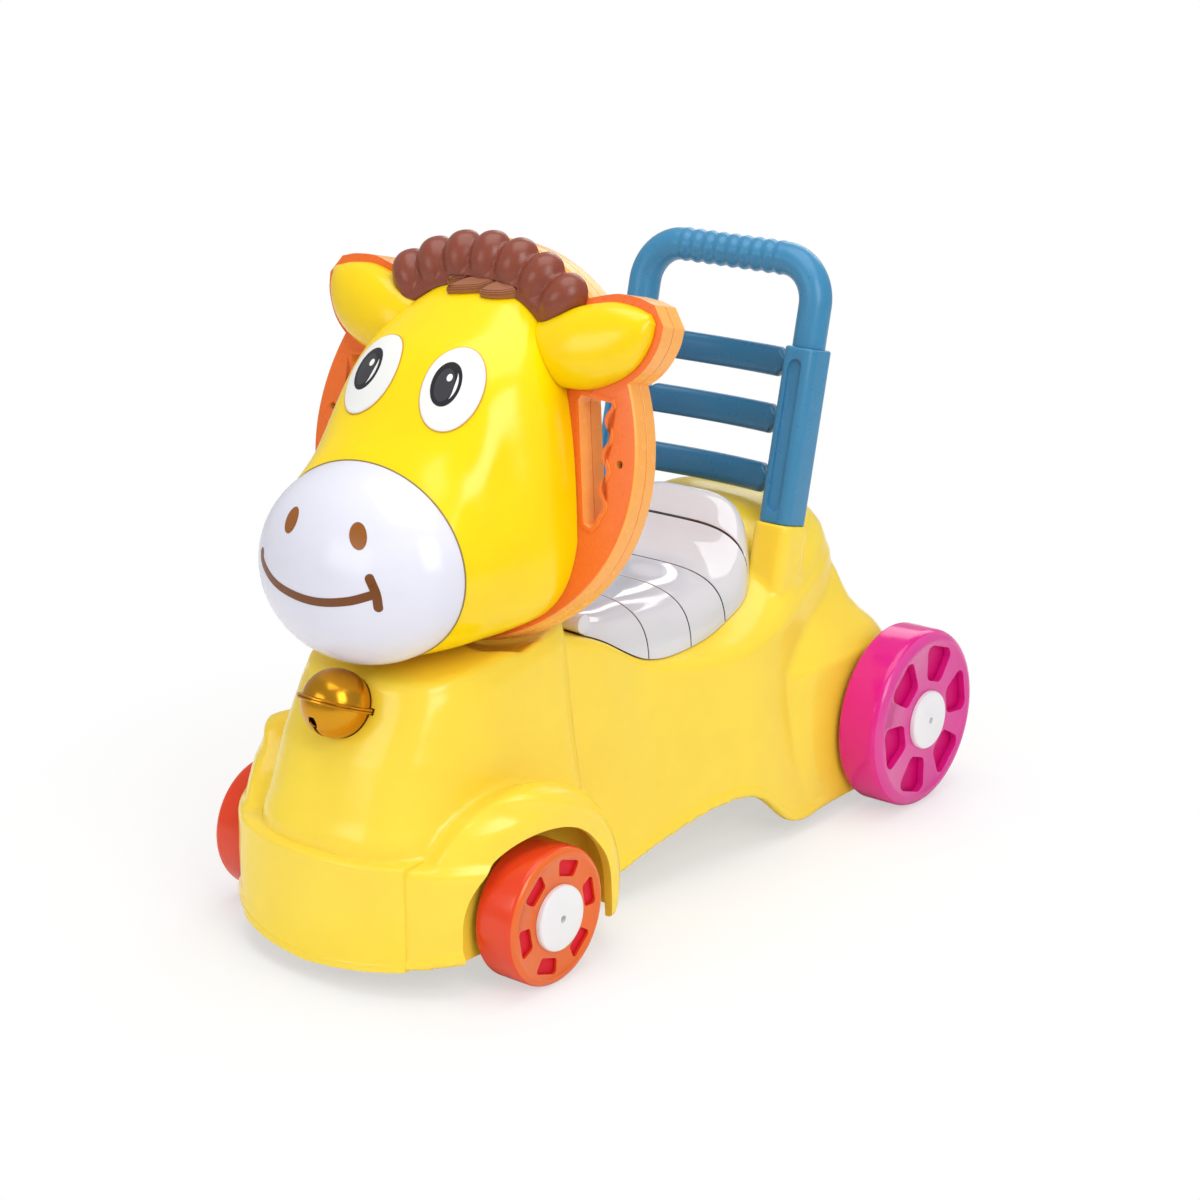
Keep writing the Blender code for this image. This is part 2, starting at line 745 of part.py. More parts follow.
def disc_point(x, up, front=0.0):
    frame = np.array(leaning(DISC_CENTRE, DISC_TILT))
    return frame[:3, :3] @ np.array([x, up, front]) + frame[:3, 3]


def make_body(finish):
    body = neck_form("body_shell", 0.0)
    body.data.materials.append(finish)
    hollow = neck_form("neck_hollow", WALL)
    join(body, seat_form("seat_body"), bumper_form("bumper", 0.0), band_form("bumper_band"))
    join(body, guard_form("mudguards"), skirt_form("rear_skirt"))
    join(hollow, seat_form("seat_hollow", WALL, floor=-0.01, samples=1), bumper_form("bumper_hollow", WALL))
    join(hollow, skirt_form("skirt_hollow", WALL))
    cut(hollow, dish_form("dish_underside", WALL))
    cut(body, hollow)
    for side, word in ((1, "left"), (-1, "right")):
        frame = handle_frame(side)
        join(body, post_form(f"post_{word}", side))
        bore_foot = -SLEEVE_TENON_LENGTH - 0.002
        cut(body, rod(f"post_bore_{word}", SLEEVE_TENON_RADIUS + SEAT_GAP, bore_foot, 0.01, frame))
        cut(body, well_form(f"well_{word}", side), well_opening(f"well_opening_{word}", side))
        for number, (x, y, top) in enumerate(COLUMNS):
            stand = Matrix.Translation((side * x, y, 0))
            join(body, rod(f"column_{word}_{number}", COLUMN_RADIUS, CHASSIS_Z[1] + SEAT_GAP, top, stand, 10))
            hole_top = CHASSIS_Z[1] + SCREW_LENGTH
            cut(body, rod(f"column_hole_{word}_{number}", SCREW_RADIUS + SEAT_GAP, 0, hole_top, stand, 12))
        lug_x = side * LUG_X
        lug_frame = along_x(*LID_HINGE)
        lug = rod(f"lug_{word}", LUG_RADIUS, lug_x - LUG_WIDTH / 2, lug_x + LUG_WIDTH / 2, lug_frame, 20)
        stem_low = (lug_x - LUG_WIDTH / 2, LID_HINGE[0] - 0.0050, LID_HINGE[1] - 0.018)
        stem_high = (lug_x + LUG_WIDTH / 2, LID_HINGE[0] + 0.0020, LID_HINGE[1] - 0.002)
        join(body, block(f"lug_stem_{word}", stem_low, stem_high), lug)
        reach = (lug_x - LUG_WIDTH, lug_x + LUG_WIDTH)
        cut(body, rod(f"lug_bore_{word}", LID_PIN_RADIUS + SEAT_GAP, *reach, lug_frame, 16))
    join_bin_seat(body)
    join_bell_pocket(body)
    cut_neck_top(body)
    for name, y, z in (("front", FRONT_AXLE_Y, FRONT_WHEEL_RADIUS), ("rear", REAR_AXLE_Y, REAR_WHEEL_RADIUS)):
        cut(body, rod(f"{name}_axle_hole", AXLE_RADIUS + SEAT_GAP, -0.2, 0.2, along_x(y, z), 16))
    return body


def bin_box(name, margin, low, high, corner):
    half_y = (BIN_Y[1] - BIN_Y[0]) / 2 + margin
    outline = rounded_box(BIN_HALF_WIDTH + margin, half_y, corner + margin, (0.0, sum(BIN_Y) / 2))
    return prism(name, outline, low, high)


def join_bin_seat(body):
    """The ledge that the storage bin's flange rests on, recessed in the deck."""
    collar = bin_box("bin_collar", BIN_FLANGE + SEAT_GAP + WALL, BIN_LEDGE_Z - WALL, 0.26, BIN_CORNER)
    clip = seat_form("bin_collar_clip", 0.0008, floor=-0.02)
    combine(collar, clip, "INTERSECT")
    join(body, collar)
    cut(body, bin_box("bin_recess", BIN_FLANGE + SEAT_GAP, BIN_LEDGE_Z, 0.30, BIN_CORNER))
    cut(body, bin_box("bin_opening", SEAT_GAP, -0.05, 0.30, BIN_CORNER))


def dish_form(name, drop=0.0):
    """The space that the disc's lower edge swings through, as low as that edge at each distance from it."""
    low_y = disc_point(0, -DISC_RADIUS, -DISC_THICKNESS)[1]
    centre_z = disc_point(0, 0, -DISC_THICKNESS)[2]
    profile = [(0.0, DISH_FLOOR - drop)]
    nearest = abs(low_y - SWIVEL_Y) + DISH_CLEARANCE / 2
    for reach in np.linspace(nearest, DISH_RADIUS, 7):
        across = math.sqrt(reach**2 - (low_y - SWIVEL_Y) ** 2)
        rim = disc_rim(-math.degrees(math.acos(across / DISC_RADIUS)))
        fall = math.sqrt(rim**2 - across**2) * math.cos(DISC_TILT)
        profile.append((reach, centre_z - fall - DISH_CLEARANCE - drop))
    top = DISC_CENTRE[1] - DISC_RADIUS / 2
    profile += [(DISH_RADIUS, top), (0.0, top)]
    return turned(name, profile, Matrix.Translation((0, SWIVEL_Y, 0)), 24)


def cut_neck_top(body):
    frame = Matrix.Translation((0, SWIVEL_Y, 0))
    slope = Matrix.Translation((0, *NECK_TOP)) @ Matrix.Rotation(NECK_TOP_SLOPE, 4, "X")
    cut(body, block("neck_top", (-0.2, -0.2, 0.0), (0.2, 0.0, 0.2), slope), dish_form("neck_dish"))
    cut(body, rod("swivel_hole", SWIVEL_PIN_RADIUS + RUNNING_GAP, NECK_CEILING - 0.01, 0.25, frame, 24))


def join_bell_pocket(body):
    """A thin cup in the neck's front wall that the bell sits in, with a groove for the bell's flange."""
    centre = (0.0, *BELL_CENTRE)
    inner = BELL_RADIUS + BELL_POCKET_GAP
    groove = inner + BELL_FLANGE_PROUD
    cup = ball("bell_cup", groove + BELL_POCKET_WALL, centre, 16, 8)
    combine(cup, neck_form("bell_cup_clip", 0.0008), "INTERSECT")
    join(body, cup)
    cut(body, ball("bell_pocket", inner, centre, 20, 10))
    half = BELL_FLANGE_THICKNESS + BELL_POCKET_GAP
    cut(body, rod("bell_flange_groove", groove, -half, half, bell_frame(), 24))
    cut(body, rod("bell_bolt_hole", SCREW_RADIUS + SEAT_GAP, -0.06, 0.0, bell_bolt_frame(), 12))


def bell_bolt_frame(distance=0.0):
    """Z runs from a point in the neck, that distance from the bell's centre, to the bell."""
    s, c = math.sin(BELL_BOLT_RISE), math.cos(BELL_BOLT_RISE)
    y, z = BELL_CENTRE[0] + distance * c, BELL_CENTRE[1] + distance * s
    return Matrix(((-1, 0, 0, 0), (0, s, -c, y), (0, -c, -s, z), (0, 0, 0, 1)))


def make_chassis(finish):
    half = np.array(CHASSIS_OUTLINE)
    outline = np.vstack([half, mirrored(half[-2:0:-1])])
    plate = prism("chassis", outline, *CHASSIS_Z, finish=finish)
    for side, word in ((1, "left"), (-1, "right")):
        for name, x, y, z in (
            ("front", FRONT_SADDLE_X, FRONT_AXLE_Y, FRONT_WHEEL_RADIUS),
            ("rear", REAR_SADDLE_X, REAR_AXLE_Y, REAR_WHEEL_RADIUS),
        ):
            reach = AXLE_RADIUS + SADDLE_WALL
            low = min(z - reach, CHASSIS_Z[0] + 0.001)
            high = max(z + reach, CHASSIS_Z[1] - 0.001)
            x_low, x_high = side * x - SADDLE_WIDTH / 2, side * x + SADDLE_WIDTH / 2
            join(plate, block(f"{name}_saddle_{word}", (x_low, y - reach, low), (x_high, y + reach, high)))
            hole = rod(f"{name}_saddle_hole_{word}", AXLE_RADIUS + SEAT_GAP, x_low - 0.01, x_high + 0.01,
                       along_x(y, z), 12)
            cut(plate, hole)
        for number, (x, y, _) in enumerate(COLUMNS):
            stand = Matrix.Translation((side * x, y, 0))
            cut(plate, rod(f"chassis_hole_{word}_{number}", SCREW_RADIUS + SEAT_GAP, 0, 0.1, stand, 12))
    return plate


def screw(name, frame, finish, length=SCREW_LENGTH, thread=SCREW_RADIUS):
    """Its head starts at the frame's origin and points down, its shank runs up along Z."""
    profile = ((SCREW_HEAD_RADIUS, -SCREW_HEAD_HEIGHT), (SCREW_HEAD_RADIUS, 0), (thread, 0), (thread, length))
    return turned(name, profile, frame, 10, finish)


def make_bin(finish):
    flange = BIN_FLANGE - SEAT_GAP
    low = BIN_LEDGE_Z + SEAT_GAP
    tub = bin_box("storage_bin", flange, low, low + BIN_FLANGE_THICKNESS, BIN_CORNER)
    tub.data.materials.append(finish)
    join(tub, bin_box("bin_tub", -SEAT_GAP, BIN_FLOOR_Z, low + BIN_FLANGE_THICKNESS / 2, BIN_CORNER))
    cut(tub, bin_box("bin_inside", -BIN_WALL, BIN_FLOOR_Z + BIN_WALL, 0.3, BIN_CORNER))
    return tub


def lid_outside(name, inset=0.0):
    """The lid's dome: upright half sections along Y, each a power curve from edge to edge."""
    table = smooth_rows(LID_ROWS, 1 if inset else 2)
    angles = np.linspace(0, math.pi, LID_POINTS)
    across = np.sign(np.cos(angles)) * np.abs(np.cos(angles)) ** (2 / LID_POWER)
    rise = np.abs(np.sin(angles)) ** (2 / LID_POWER)
    rings = []
    for y, half_width, crown in table:
        y = y + inset if y < 0 else y - inset * (y > 0.15)
        low = deck_height(np.array([0.0]), np.array([y]))[0] - 0.02
        width = max(half_width - inset, 0.004)
        height = low + (crown - inset - low) * rise
        section = np.column_stack([width * across, np.full(LID_POINTS, y), height])
        rings.append(section)
    return stacked(name, rings)


def make_lid(finish):
    """A hollow dome whose edge follows the deck, with a hinge barrel across its front end."""
    lid = lid_outside("seat_lid")
    lid.data.materials.append(finish)
    cut(lid, lid_outside("lid_hollow", WALL))
    frame = along_x(*LID_HINGE)
    barrel_half = LID_ROWS[0][1] - 0.002
    join(lid, rod("lid_barrel", LID_BARREL_RADIUS, -barrel_half, barrel_half, frame, 20))
    cut(lid, seat_form("lid_seat", 0.0, lift=LID_SEAT_GAP, floor=-0.02))
    for side, word in ((1, "left"), (-1, "right")):
        cut(lid, post_form(f"lid_post_{word}", side, LID_POST_GAP, 0.05))
    cut(lid, rod("lid_bore", LID_PIN_RADIUS + SEAT_GAP, -LUG_X - 0.012, LUG_X + 0.012, frame, 16))
    for side, word in ((1, "left"), (-1, "right")):
        low, high = side * LUG_X - LUG_WIDTH / 2 - RUNNING_GAP, side * LUG_X + LUG_WIDTH / 2 + RUNNING_GAP
        cut(lid, rod(f"lug_slot_{word}", LUG_RADIUS + RUNNING_GAP, low, high, frame, 24))
        corner = (low, LID_HINGE[0] - 0.02, LID_HINGE[1] - 0.03)
        opposite = (high, LID_HINGE[0] + 0.0030, LID_HINGE[1] + LUG_PATH_RISE)
        cut(lid, block(f"lug_path_{word}", corner, opposite))
    for number, y in enumerate(LID_GROOVES_Y):
        cut(lid, lid_groove(f"lid_groove_{number}", y))
    return lid


def lid_groove(name, y):
    """A thin collar round the lid's outside at one place along Y."""
    table = smooth_rows(LID_ROWS, 8)
    angles = np.linspace(-0.2, math.pi + 0.2, 11)
    across = np.sign(np.cos(angles)) * np.abs(np.cos(angles)) ** (2 / LID_POWER)
    rise = np.sign(np.sin(angles)) * np.abs(np.sin(angles)) ** (2 / LID_POWER)
    half_width, crown = (np.interp(y, table[:, 0], table[:, column]) for column in (1, 2))
    low = deck_height(np.array([0.0]), np.array([y]))[0] - 0.02
    width, height = half_width + 0.004, crown + 0.004 - low
    outer = np.column_stack([width * across, low + height * rise])
    width, height = half_width - LID_GROOVE_DEPTH, crown - LID_GROOVE_DEPTH - low
    inner = np.column_stack([width * across, low + height * rise])
    outline = np.vstack([outer, inner[::-1]])
    frame = Matrix(((1, 0, 0, 0), (0, 0, -1, y), (0, 1, 0, 0), (0, 0, 0, 1)))
    return prism(name, outline, -LID_GROOVE_WIDTH / 2, LID_GROOVE_WIDTH / 2, frame)


def wheel_frame(side, y, radius):
    """Z runs outwards along the axle from the middle of the toy."""
    if side > 0:
        return Matrix(((0, 0, 1, 0), (1, 0, 0, y), (0, 1, 0, radius), (0, 0, 0, 1)))
    return Matrix(((0, 0, -1, 0), (-1, 0, 0, y), (0, 1, 0, radius), (0, 0, 0, 1)))


def make_wheel(name, side, y, radius, width, face_x, window, finish, back_finish, cap_finish):
    frame = wheel_frame(side, y, radius)
    bore = AXLE_RADIUS + SEAT_GAP
    back_x = face_x - width
    inside = face_x - FACE_WALL
    tread = radius - TREAD_WALL
    profile = [(bore, face_x - 0.0015), (radius - SHOULDER - 0.004, face_x - 0.0015)]
    for step in range(3):
        angle = math.pi / 2 * step / 2
        reach = radius - SHOULDER + SHOULDER * math.sin(angle)
        profile.append((reach, face_x - SHOULDER + SHOULDER * math.cos(angle)))
    profile += [(radius, back_x + 0.004), (radius - 0.004, back_x), (tread - 0.001, back_x)]
    hub_x = back_x + width / 2
    profile += [(tread - 0.001, inside), (HUB_RADIUS, inside), (HUB_RADIUS, hub_x), (bore, hub_x)]
    rim = turned(f"{name}_rim", profile, frame, WHEEL_STEPS, finish, looped=True)
    low, high, spread = radius - window[0], radius - window[1], window[2]
    for number in range(WINDOW_COUNT):
        middle = math.pi / 2 + number * 2 * math.pi / WINDOW_COUNT
        cut(rim, prism(f"{name}_window_{number}", window_outline(low, high, spread, middle), inside - 0.004,
                       face_x + 0.002, frame))
    plate_x = back_x + width / 2 - 0.0032
    back_profile = (
        (bore, back_x - 0.001),
        (HUB_RADIUS, back_x - 0.001),
        (HUB_RADIUS, plate_x - 0.003),
        (tread - 0.001 - SEAT_GAP, plate_x - 0.003),
        (tread - 0.001 - SEAT_GAP, plate_x),
        (HUB_RADIUS + 0.003, plate_x),
        (HUB_RADIUS + 0.003, plate_x + 0.0029),
        (bore, plate_x + 0.0029),
    )
    back = turned(f"{name}_back", back_profile, frame, WHEEL_STEPS, back_finish, looped=True)
    cap_x = face_x - 0.0015 + SEAT_GAP
    cap_profile = (
        (CAP_BORE, cap_x),
        (CAP_RADIUS, cap_x),
        (CAP_RADIUS, cap_x + CAP_PROUD - 0.0015),
        (CAP_RADIUS - 0.0015, cap_x + CAP_PROUD),
        (CAP_BORE, cap_x + CAP_PROUD),
    )
    cap = turned(f"{name}_cap", cap_profile, frame, 16, cap_finish, looped=True)
    hub = bpy.data.objects.new(f"{name}_axis", None)
    hub.location = (side * face_x, y, radius)
    bpy.context.scene.collection.objects.link(hub)
    carry(hub, rim, back, cap)
    return rim


def window_outline(low, high, spread, middle):
    """A ring sector with rounded corners, drawn as a rounded box bent round the axle."""
    half = spread / 2
    mean = (low + high) / 2
    points = rounded_box((high - low) / 2, half * mean, 0.0035, arc=1)
    bent = [(mean + across, middle + along / mean) for across, along in points]
    return [(radius * math.cos(angle), radius * math.sin(angle)) for radius, angle in bent]


def carry(parent, *children):
    for child in children:
        child.parent = parent
        child.matrix_parent_inverse = Matrix.Translation(-Vector(parent.location))


def axis_empty(name, place):
    made = bpy.data.objects.new(name, None)
    made.location = place
    bpy.context.scene.collection.objects.link(made)
    return made


def head_rings(offset=0.0, samples=2):
    """Sections of the head from the disc to the muzzle seam: wide ovals whose upper half narrows."""
    angles = np.arange(HEAD_COLUMNS) * 2 * math.pi / HEAD_COLUMNS
    cosine, sine = np.cos(angles), np.sin(angles)
    rings = []
    for row in smooth_rows(HEAD_ROWS, samples):
        y, z, tilt, brow, upper, lower, narrowing, upper_power, lower_power, cheek = row
        power = np.where(sine > 0, upper_power, lower_power)
        across = np.sign(cosine) * np.abs(cosine) ** (2 / power)
        rise = np.sign(sine) * np.abs(sine) ** (2 / power)
        share = np.clip(rise / BROW_START, 0, 1)
        half_width = cheek + (brow - cheek) * share**2 * (3 - 2 * share)
        x = (half_width + offset) * across * (1 - narrowing * np.maximum(rise, 0))
        up = rise * (np.where(sine > 0, upper, lower) + offset)
        lean = math.radians(tilt)
        rings.append(np.column_stack([x, y + up * math.sin(lean), z + up * math.cos(lean)]))
    return np.array(rings)


def head_solid(name, offset, beyond=0.0):
    """The head as a closed block, whose two ends may run on by some length."""
    rings = head_rings(offset)
    first = rings[0] + beyond * np.array([0.0, math.cos(DISC_TILT), -math.sin(DISC_TILT)])
    last = rings[-1] + beyond * np.array([0.0, -math.cos(SEAM_TILT), math.sin(SEAM_TILT)])
    rings = np.concatenate([[first], rings, [last]]) if beyond else rings
    return stacked(name, rings)


def make_head(finish):
    inside = head_rings(-WALL, samples=1)
    return stacked("head_shell", np.concatenate([head_rings(), inside[::-1]]), finish, looped=True)


def muzzle_rings(offset, gap):
    """Half an ellipsoid on the seam: each ring is the seam's section, drawn in as it goes forward."""
    seam = head_rings(offset)[-1]
    centre = np.array([0.0, HEAD_ROWS[-1][0], HEAD_ROWS[-1][1]])
    reach = np.array([0.0, *MUZZLE_REACH])
    reach *= 1 + offset / np.linalg.norm(reach)
    start = np.array([0.0, -gap, 0.0])
    rings = []
    for angle in np.linspace(0, math.pi / 2, MUZZLE_BANDS):
        rings.append(centre + start + (seam - centre) * max(math.cos(angle), 0.02) + reach * math.sin(angle))
    return np.array(rings)


def make_muzzle(finish):
    outside = muzzle_rings(0.0, SEAT_GAP)
    inside = muzzle_rings(-WALL, SEAT_GAP)
    return stacked("muzzle", np.concatenate([inside[::-1], outside]), finish)


def facing_frame(place, facing, spin=0.0):
    """Z points along facing, and Y as far up as it can, turned by spin."""
    z = Vector(facing).normalized()
    x = Vector((0, 0, 1)).cross(z).normalized()
    frame = Matrix((x, z.cross(x), z)).transposed().to_4x4()
    return Matrix.Translation(place) @ frame @ Matrix.Rotation(spin, 4, "Z")


def patch(name, outline, frame, proud, finish):
    """A thin plate that lies on the head's surface, with the outline seen along the frame's Z axis."""
    plate = prism(name, outline, -0.035, 0.035, frame, finish)
    combine(plate, head_solid(f"{name}_over", proud, 0.004), "INTERSECT")
    cut(plate, head_solid(f"{name}_under", CURVED_GAP, 0.02))
    return plate


def oval(half_x, half_y, count=24):
    angles = np.arange(count) * 2 * math.pi / count
    return np.column_stack([half_x * np.cos(angles), half_y * np.sin(angles)])


def make_eye(word, side, finish):
    place = (side * EYE_CENTRE[0], EYE_CENTRE[1], EYE_CENTRE[2])
    facing = (side * EYE_FACING[0], EYE_FACING[1], EYE_FACING[2])
    outline = oval(EYE_WIDTH / 2, EYE_HEIGHT / 2)
    return patch(f"eye_{word}", outline, facing_frame(place, facing), EYE_PROUD, finish)


def make_forelock(finish):
    """Three overlapping pointed locks, swept to one side of the forehead."""
    frame = facing_frame(FORELOCK_PLACE, FORELOCK_FACING)
    locks = []
    for number, outline in enumerate(FORELOCK_LOCKS):
        name = "forelock" if number == 0 else f"forelock_lock_{number}"
        locks.append(prism(name, outline, -0.030 + number * 0.0004, 0.030, frame))
    forelock = locks[0]
    forelock.data.materials.append(finish)
    join(forelock, *locks[1:])
    combine(forelock, head_solid("forelock_over", FORELOCK_PROUD, 0.004), "INTERSECT")
    cut(forelock, head_solid("forelock_under", CURVED_GAP, 0.02))
    behind = leaning(DISC_CENTRE, DISC_TILT)
    cut(forelock, block("forelock_disc", (-0.25, -0.25, -0.05), (0.25, 0.25, FORELOCK_PROUD), behind))
    return forelock


def ear_form(name, side, margin, finish=None):
    """A swollen leaf on the disc's face: D-shaped sections along a curve. A seat for it starts lower."""
    rings = []
    angles = np.linspace(0, math.pi, 9)
    for place, across, half_width, bulge in ear_sections(side, margin, 2):
        widths = half_width * np.cos(angles)
        heights = SEAT_GAP + (bulge + margin) * np.sin(angles) ** 0.8
        if margin:
            widths = np.concatenate([widths[:1], widths, widths[-1:]])
            heights = np.concatenate([[EAR_SEAT_FOOT], heights, [EAR_SEAT_FOOT]])
        rings.append(np.column_stack([place + np.outer(widths, across), heights]))
    return stacked(name, placed(rings, leaning(DISC_CENTRE, DISC_TILT)), finish)


def make_ear(word, side, finish):
    ear = ear_form(f"ear_{word}", side, 0.0, finish)
    cut(ear, head_solid(f"ear_seat_{word}", CURVED_GAP))
    return ear


def make_mane(finish):
    """Seven plump lobes fanned round the top of the disc, joined where they touch."""
    frame = leaning(DISC_CENTRE, DISC_TILT)
    across, length, depth = MANE_LOBE
    turn = np.arange(12) * 2 * math.pi / 12
    lobes = []
    for number in range(LOBE_COUNT):
        angle = math.radians((number - (LOBE_COUNT - 1) / 2) * LOBE_STEP)
        place = (MANE_RADIUS * math.sin(angle), MANE_RADIUS * math.cos(angle), 0.0)
        local = frame @ Matrix.Translation(place) @ Matrix.Rotation(-angle, 4, "Z")
        rings = []
        for step in np.linspace(0, math.pi, 8):
            reach = max(math.sin(step), 0.02) ** 0.8
            along = np.full(12, -length * math.cos(step))
            ring = (across * reach * np.cos(turn), along, depth * reach * np.sin(turn))
            rings.append(np.column_stack(ring))
        lobes.append(stacked("mane" if number == 0 else f"lobe_{number}", placed(rings, local)))
    mane = lobes[0]
    mane.data.materials.append(finish)
    join(mane, *lobes[1:])
    cut(mane, block("mane_back", (-0.25, -0.25, -0.05), (0.25, 0.25, SEAT_GAP), frame))
    cut(mane, head_solid("mane_seat", CURVED_GAP))
    for side, word in ((1, "left"), (-1, "right")):
        cut(mane, ear_form(f"mane_ear_seat_{word}", side, CURVED_GAP))
    lock_frame = facing_frame(FORELOCK_PLACE, FORELOCK_FACING)
    grown = [offset_outline(np.array(outline), SEAT_GAP + CURVED_GAP) for outline in FORELOCK_LOCKS]
    levels = (-0.03, FORELOCK_PROUD + CURVED_GAP)
    corners = [level_ring(outline, level) for outline in grown for level in levels]
    cut(mane, hull("mane_lock_seat", placed(np.concatenate(corners), lock_frame)))
    return mane


def disc_rim(elevation):
    """The disc's radius at an angle above its middle, in degrees: it swells a little at the lower sides."""
    middle, spread = DISC_SWELL_PLACE
    return DISC_RADIUS + DISC_SWELL * np.exp(-(((elevation - middle) / spread) ** 2))


def disc_outline():
    angles = np.arange(DISC_COLUMNS) * 2 * math.pi / DISC_COLUMNS
    radius = disc_rim(np.degrees(np.arcsin(np.sin(angles))))
    return np.column_stack([radius * np.cos(angles), radius * np.sin(angles)])


def ear_sections(side, margin, samples):
    """For each place along the ear: its middle point, the direction across it, half width and bulge."""
    start, middle, tip = np.array(EAR_RUN)
    found = []
    for share, half_width, bulge in smooth_rows(EAR_ROWS, samples):
        place = start * (1 - share) ** 2 + middle * 2 * share * (1 - share) + tip * share**2
        run = (middle - start) * (1 - share) + (tip - middle) * share
        run /= np.linalg.norm(run)
        flip = np.array([side, 1.0])
        square = np.array([-run[1], run[0]]) * flip
        found.append(((place + run * margin * share) * flip, square, half_width + margin, bulge))
    return found


def ear_backing(name, side, low, high, frame):
    sections = ear_sections(side, BACKING_MARGIN, 2)
    upper = [place + across * half_width for place, across, half_width, _ in sections]
    lower = [place - across * half_width for place, across, half_width, _ in sections]
    return prism(name, np.array(upper + lower[::-1]), low, high, frame)


def slot_outline(margin=0.0):
    """A hand slot: a straight inner side, and a wavy outer side that the fingers close on."""
    shares = np.linspace(0, 1, 17)
    up = SLOT_TOP + (SLOT_BOTTOM - SLOT_TOP) * shares
    outer = SLOT_OUTER_X[0] + (SLOT_OUTER_X[1] - SLOT_OUTER_X[0]) * shares
    outer = outer + SLOT_WAVE * np.cos(2 * math.pi * SLOT_WAVE_COUNT * shares)
    low, high = (SLOT_INNER_X[1] + 0.002, SLOT_BOTTOM - 0.003), (SLOT_INNER_X[0] + 0.002, SLOT_TOP + 0.002)
    inner = [(outer[-1] - 0.004, SLOT_BOTTOM - 0.005), low, (SLOT_INNER_X[1], SLOT_BOTTOM + 0.003)]
    inner += [(SLOT_INNER_X[0], SLOT_TOP - 0.002), high]
    outline = np.vstack([np.column_stack([outer, up]), inner])
    return offset_outline(outline, margin) if margin else outline


def disc_hollow(name, low, high, frame):
    """The space inside one half shell, round its hub, the slots' collars and the screw bosses."""
    rim = DISC_RADIUS - WALL - 0.0005
    hollow = turned(name, ((0.02, low), (rim, low), (rim, high), (0.02, high)), frame, 20, looped=True)
    for side, word in ((1, "left"), (-1, "right")):
        outline = slot_outline(SLOT_COLLAR) * np.array([side, 1])
        cut(hollow, prism(f"{name}_collar_{word}", outline, -0.05, 0.05, frame))
        boss_frame = frame @ Matrix.Translation((side * DISC_SCREW_X, DISC_SCREW_UP, 0))
        cut(hollow, rod(f"{name}_boss_{word}", DISC_BOSS_RADIUS, -0.05, 0.05, boss_frame, 16))
    return hollow


def make_disc(finish):
    """Two half shells that meet on a line round the rim, and the two screws that hold them together."""
    frame = leaning(DISC_CENTRE, DISC_TILT)
    outline = disc_outline()
    middle = -DISC_THICKNESS / 2
    edge = offset_outline(outline, -DISC_LIP_RADIUS)
    halves = []
    for name, face, seam, sign in (("disc_front", 0.0, middle + SEAT_GAP / 2, 1),
                                   ("disc_back", -DISC_THICKNESS, middle - SEAT_GAP / 2, -1)):
        rings = (
            level_ring(edge, face),
            level_ring(outline, face - sign * DISC_LIP_RADIUS),
            level_ring(outline, seam),
        )
        half = stacked(name, placed(rings, frame), finish)
        for side, word in ((1, "left"), (-1, "right")):
            join(half, ear_backing(f"{name}_backing_{word}", side, min(face, seam), max(face, seam), frame))
        inside = face - sign * WALL
        beyond = middle - sign * 0.002
        cut(half, disc_hollow(f"{name}_hollow", min(inside, beyond), max(inside, beyond), frame))
        for side, word in ((1, "left"), (-1, "right")):
            outline_here = slot_outline() * np.array([side, 1])
            cut(half, prism(f"{name}_slot_{word}", outline_here, -0.05, 0.05, frame))
            spot = frame @ Matrix.Translation((side * DISC_SCREW_X, DISC_SCREW_UP, 0))
            if sign > 0:
                mouth = rod(f"{name}_counterbore_{word}", DISC_SCREW_HOLE, -DISC_SCREW_SEAT, 0.01, spot, 16)
                cut(half, mouth)
            low = middle - 0.002 if sign > 0 else -DISC_THICKNESS + WALL
            high = 0.0 if sign > 0 else middle + 0.002
            cut(half, rod(f"{name}_bolt_{word}", DISC_SCREW_SHANK + SEAT_GAP, low, high, spot, 12))
        halves.append(half)
    return halves


def make_disc_screw(word, side, finish):
    spot = leaning(DISC_CENTRE, DISC_TILT) @ Matrix.Translation((side * DISC_SCREW_X, DISC_SCREW_UP, 0))
    head_radius, head_height = DISC_SCREW_HEAD
    seat = -DISC_SCREW_SEAT + SEAT_GAP
    foot = -DISC_THICKNESS + WALL + SEAT_GAP
    top = seat + head_height
    profile = ((DISC_SCREW_SHANK, foot), (DISC_SCREW_SHANK, seat), (head_radius, seat), (head_radius, top))
    return turned(f"disc_screw_{word}", profile, spot, 16, finish)


def make_swivel(post_finish, steel):
    frame = Matrix.Translation((0, SWIVEL_Y, 0))
    foot = DISH_FLOOR + RUNNING_GAP
    profile = (
        (SWIVEL_PIN_RADIUS, SWIVEL_PIN_FOOT),
        (SWIVEL_PIN_RADIUS, foot),
        (SWIVEL_FLANGE_RADIUS, foot),
        (SWIVEL_FLANGE_RADIUS, 0.250),
    )
    post = turned("swivel_post", profile, frame, 24, post_finish)
    cut(post, head_solid("swivel_seat", CURVED_GAP))
    cut(post, rod("swivel_pilot", SCREW_RADIUS + SEAT_GAP, 0.2, SWIVEL_PIN_FOOT + SCREW_LENGTH, frame, 12))
    top = SWIVEL_PIN_FOOT - SEAT_GAP
    low = top - SWIVEL_WASHER_THICKNESS
    bore = SCREW_RADIUS + SEAT_GAP
    washer_profile = ((bore, low), (SWIVEL_WASHER_RADIUS, low), (SWIVEL_WASHER_RADIUS, top), (bore, top))
    washer = turned("swivel_washer", washer_profile, frame, 20, steel, looped=True)
    fastener = screw("swivel_screw", Matrix.Translation((0, SWIVEL_Y, low - SEAT_GAP)), steel)
    return post, washer, fastener


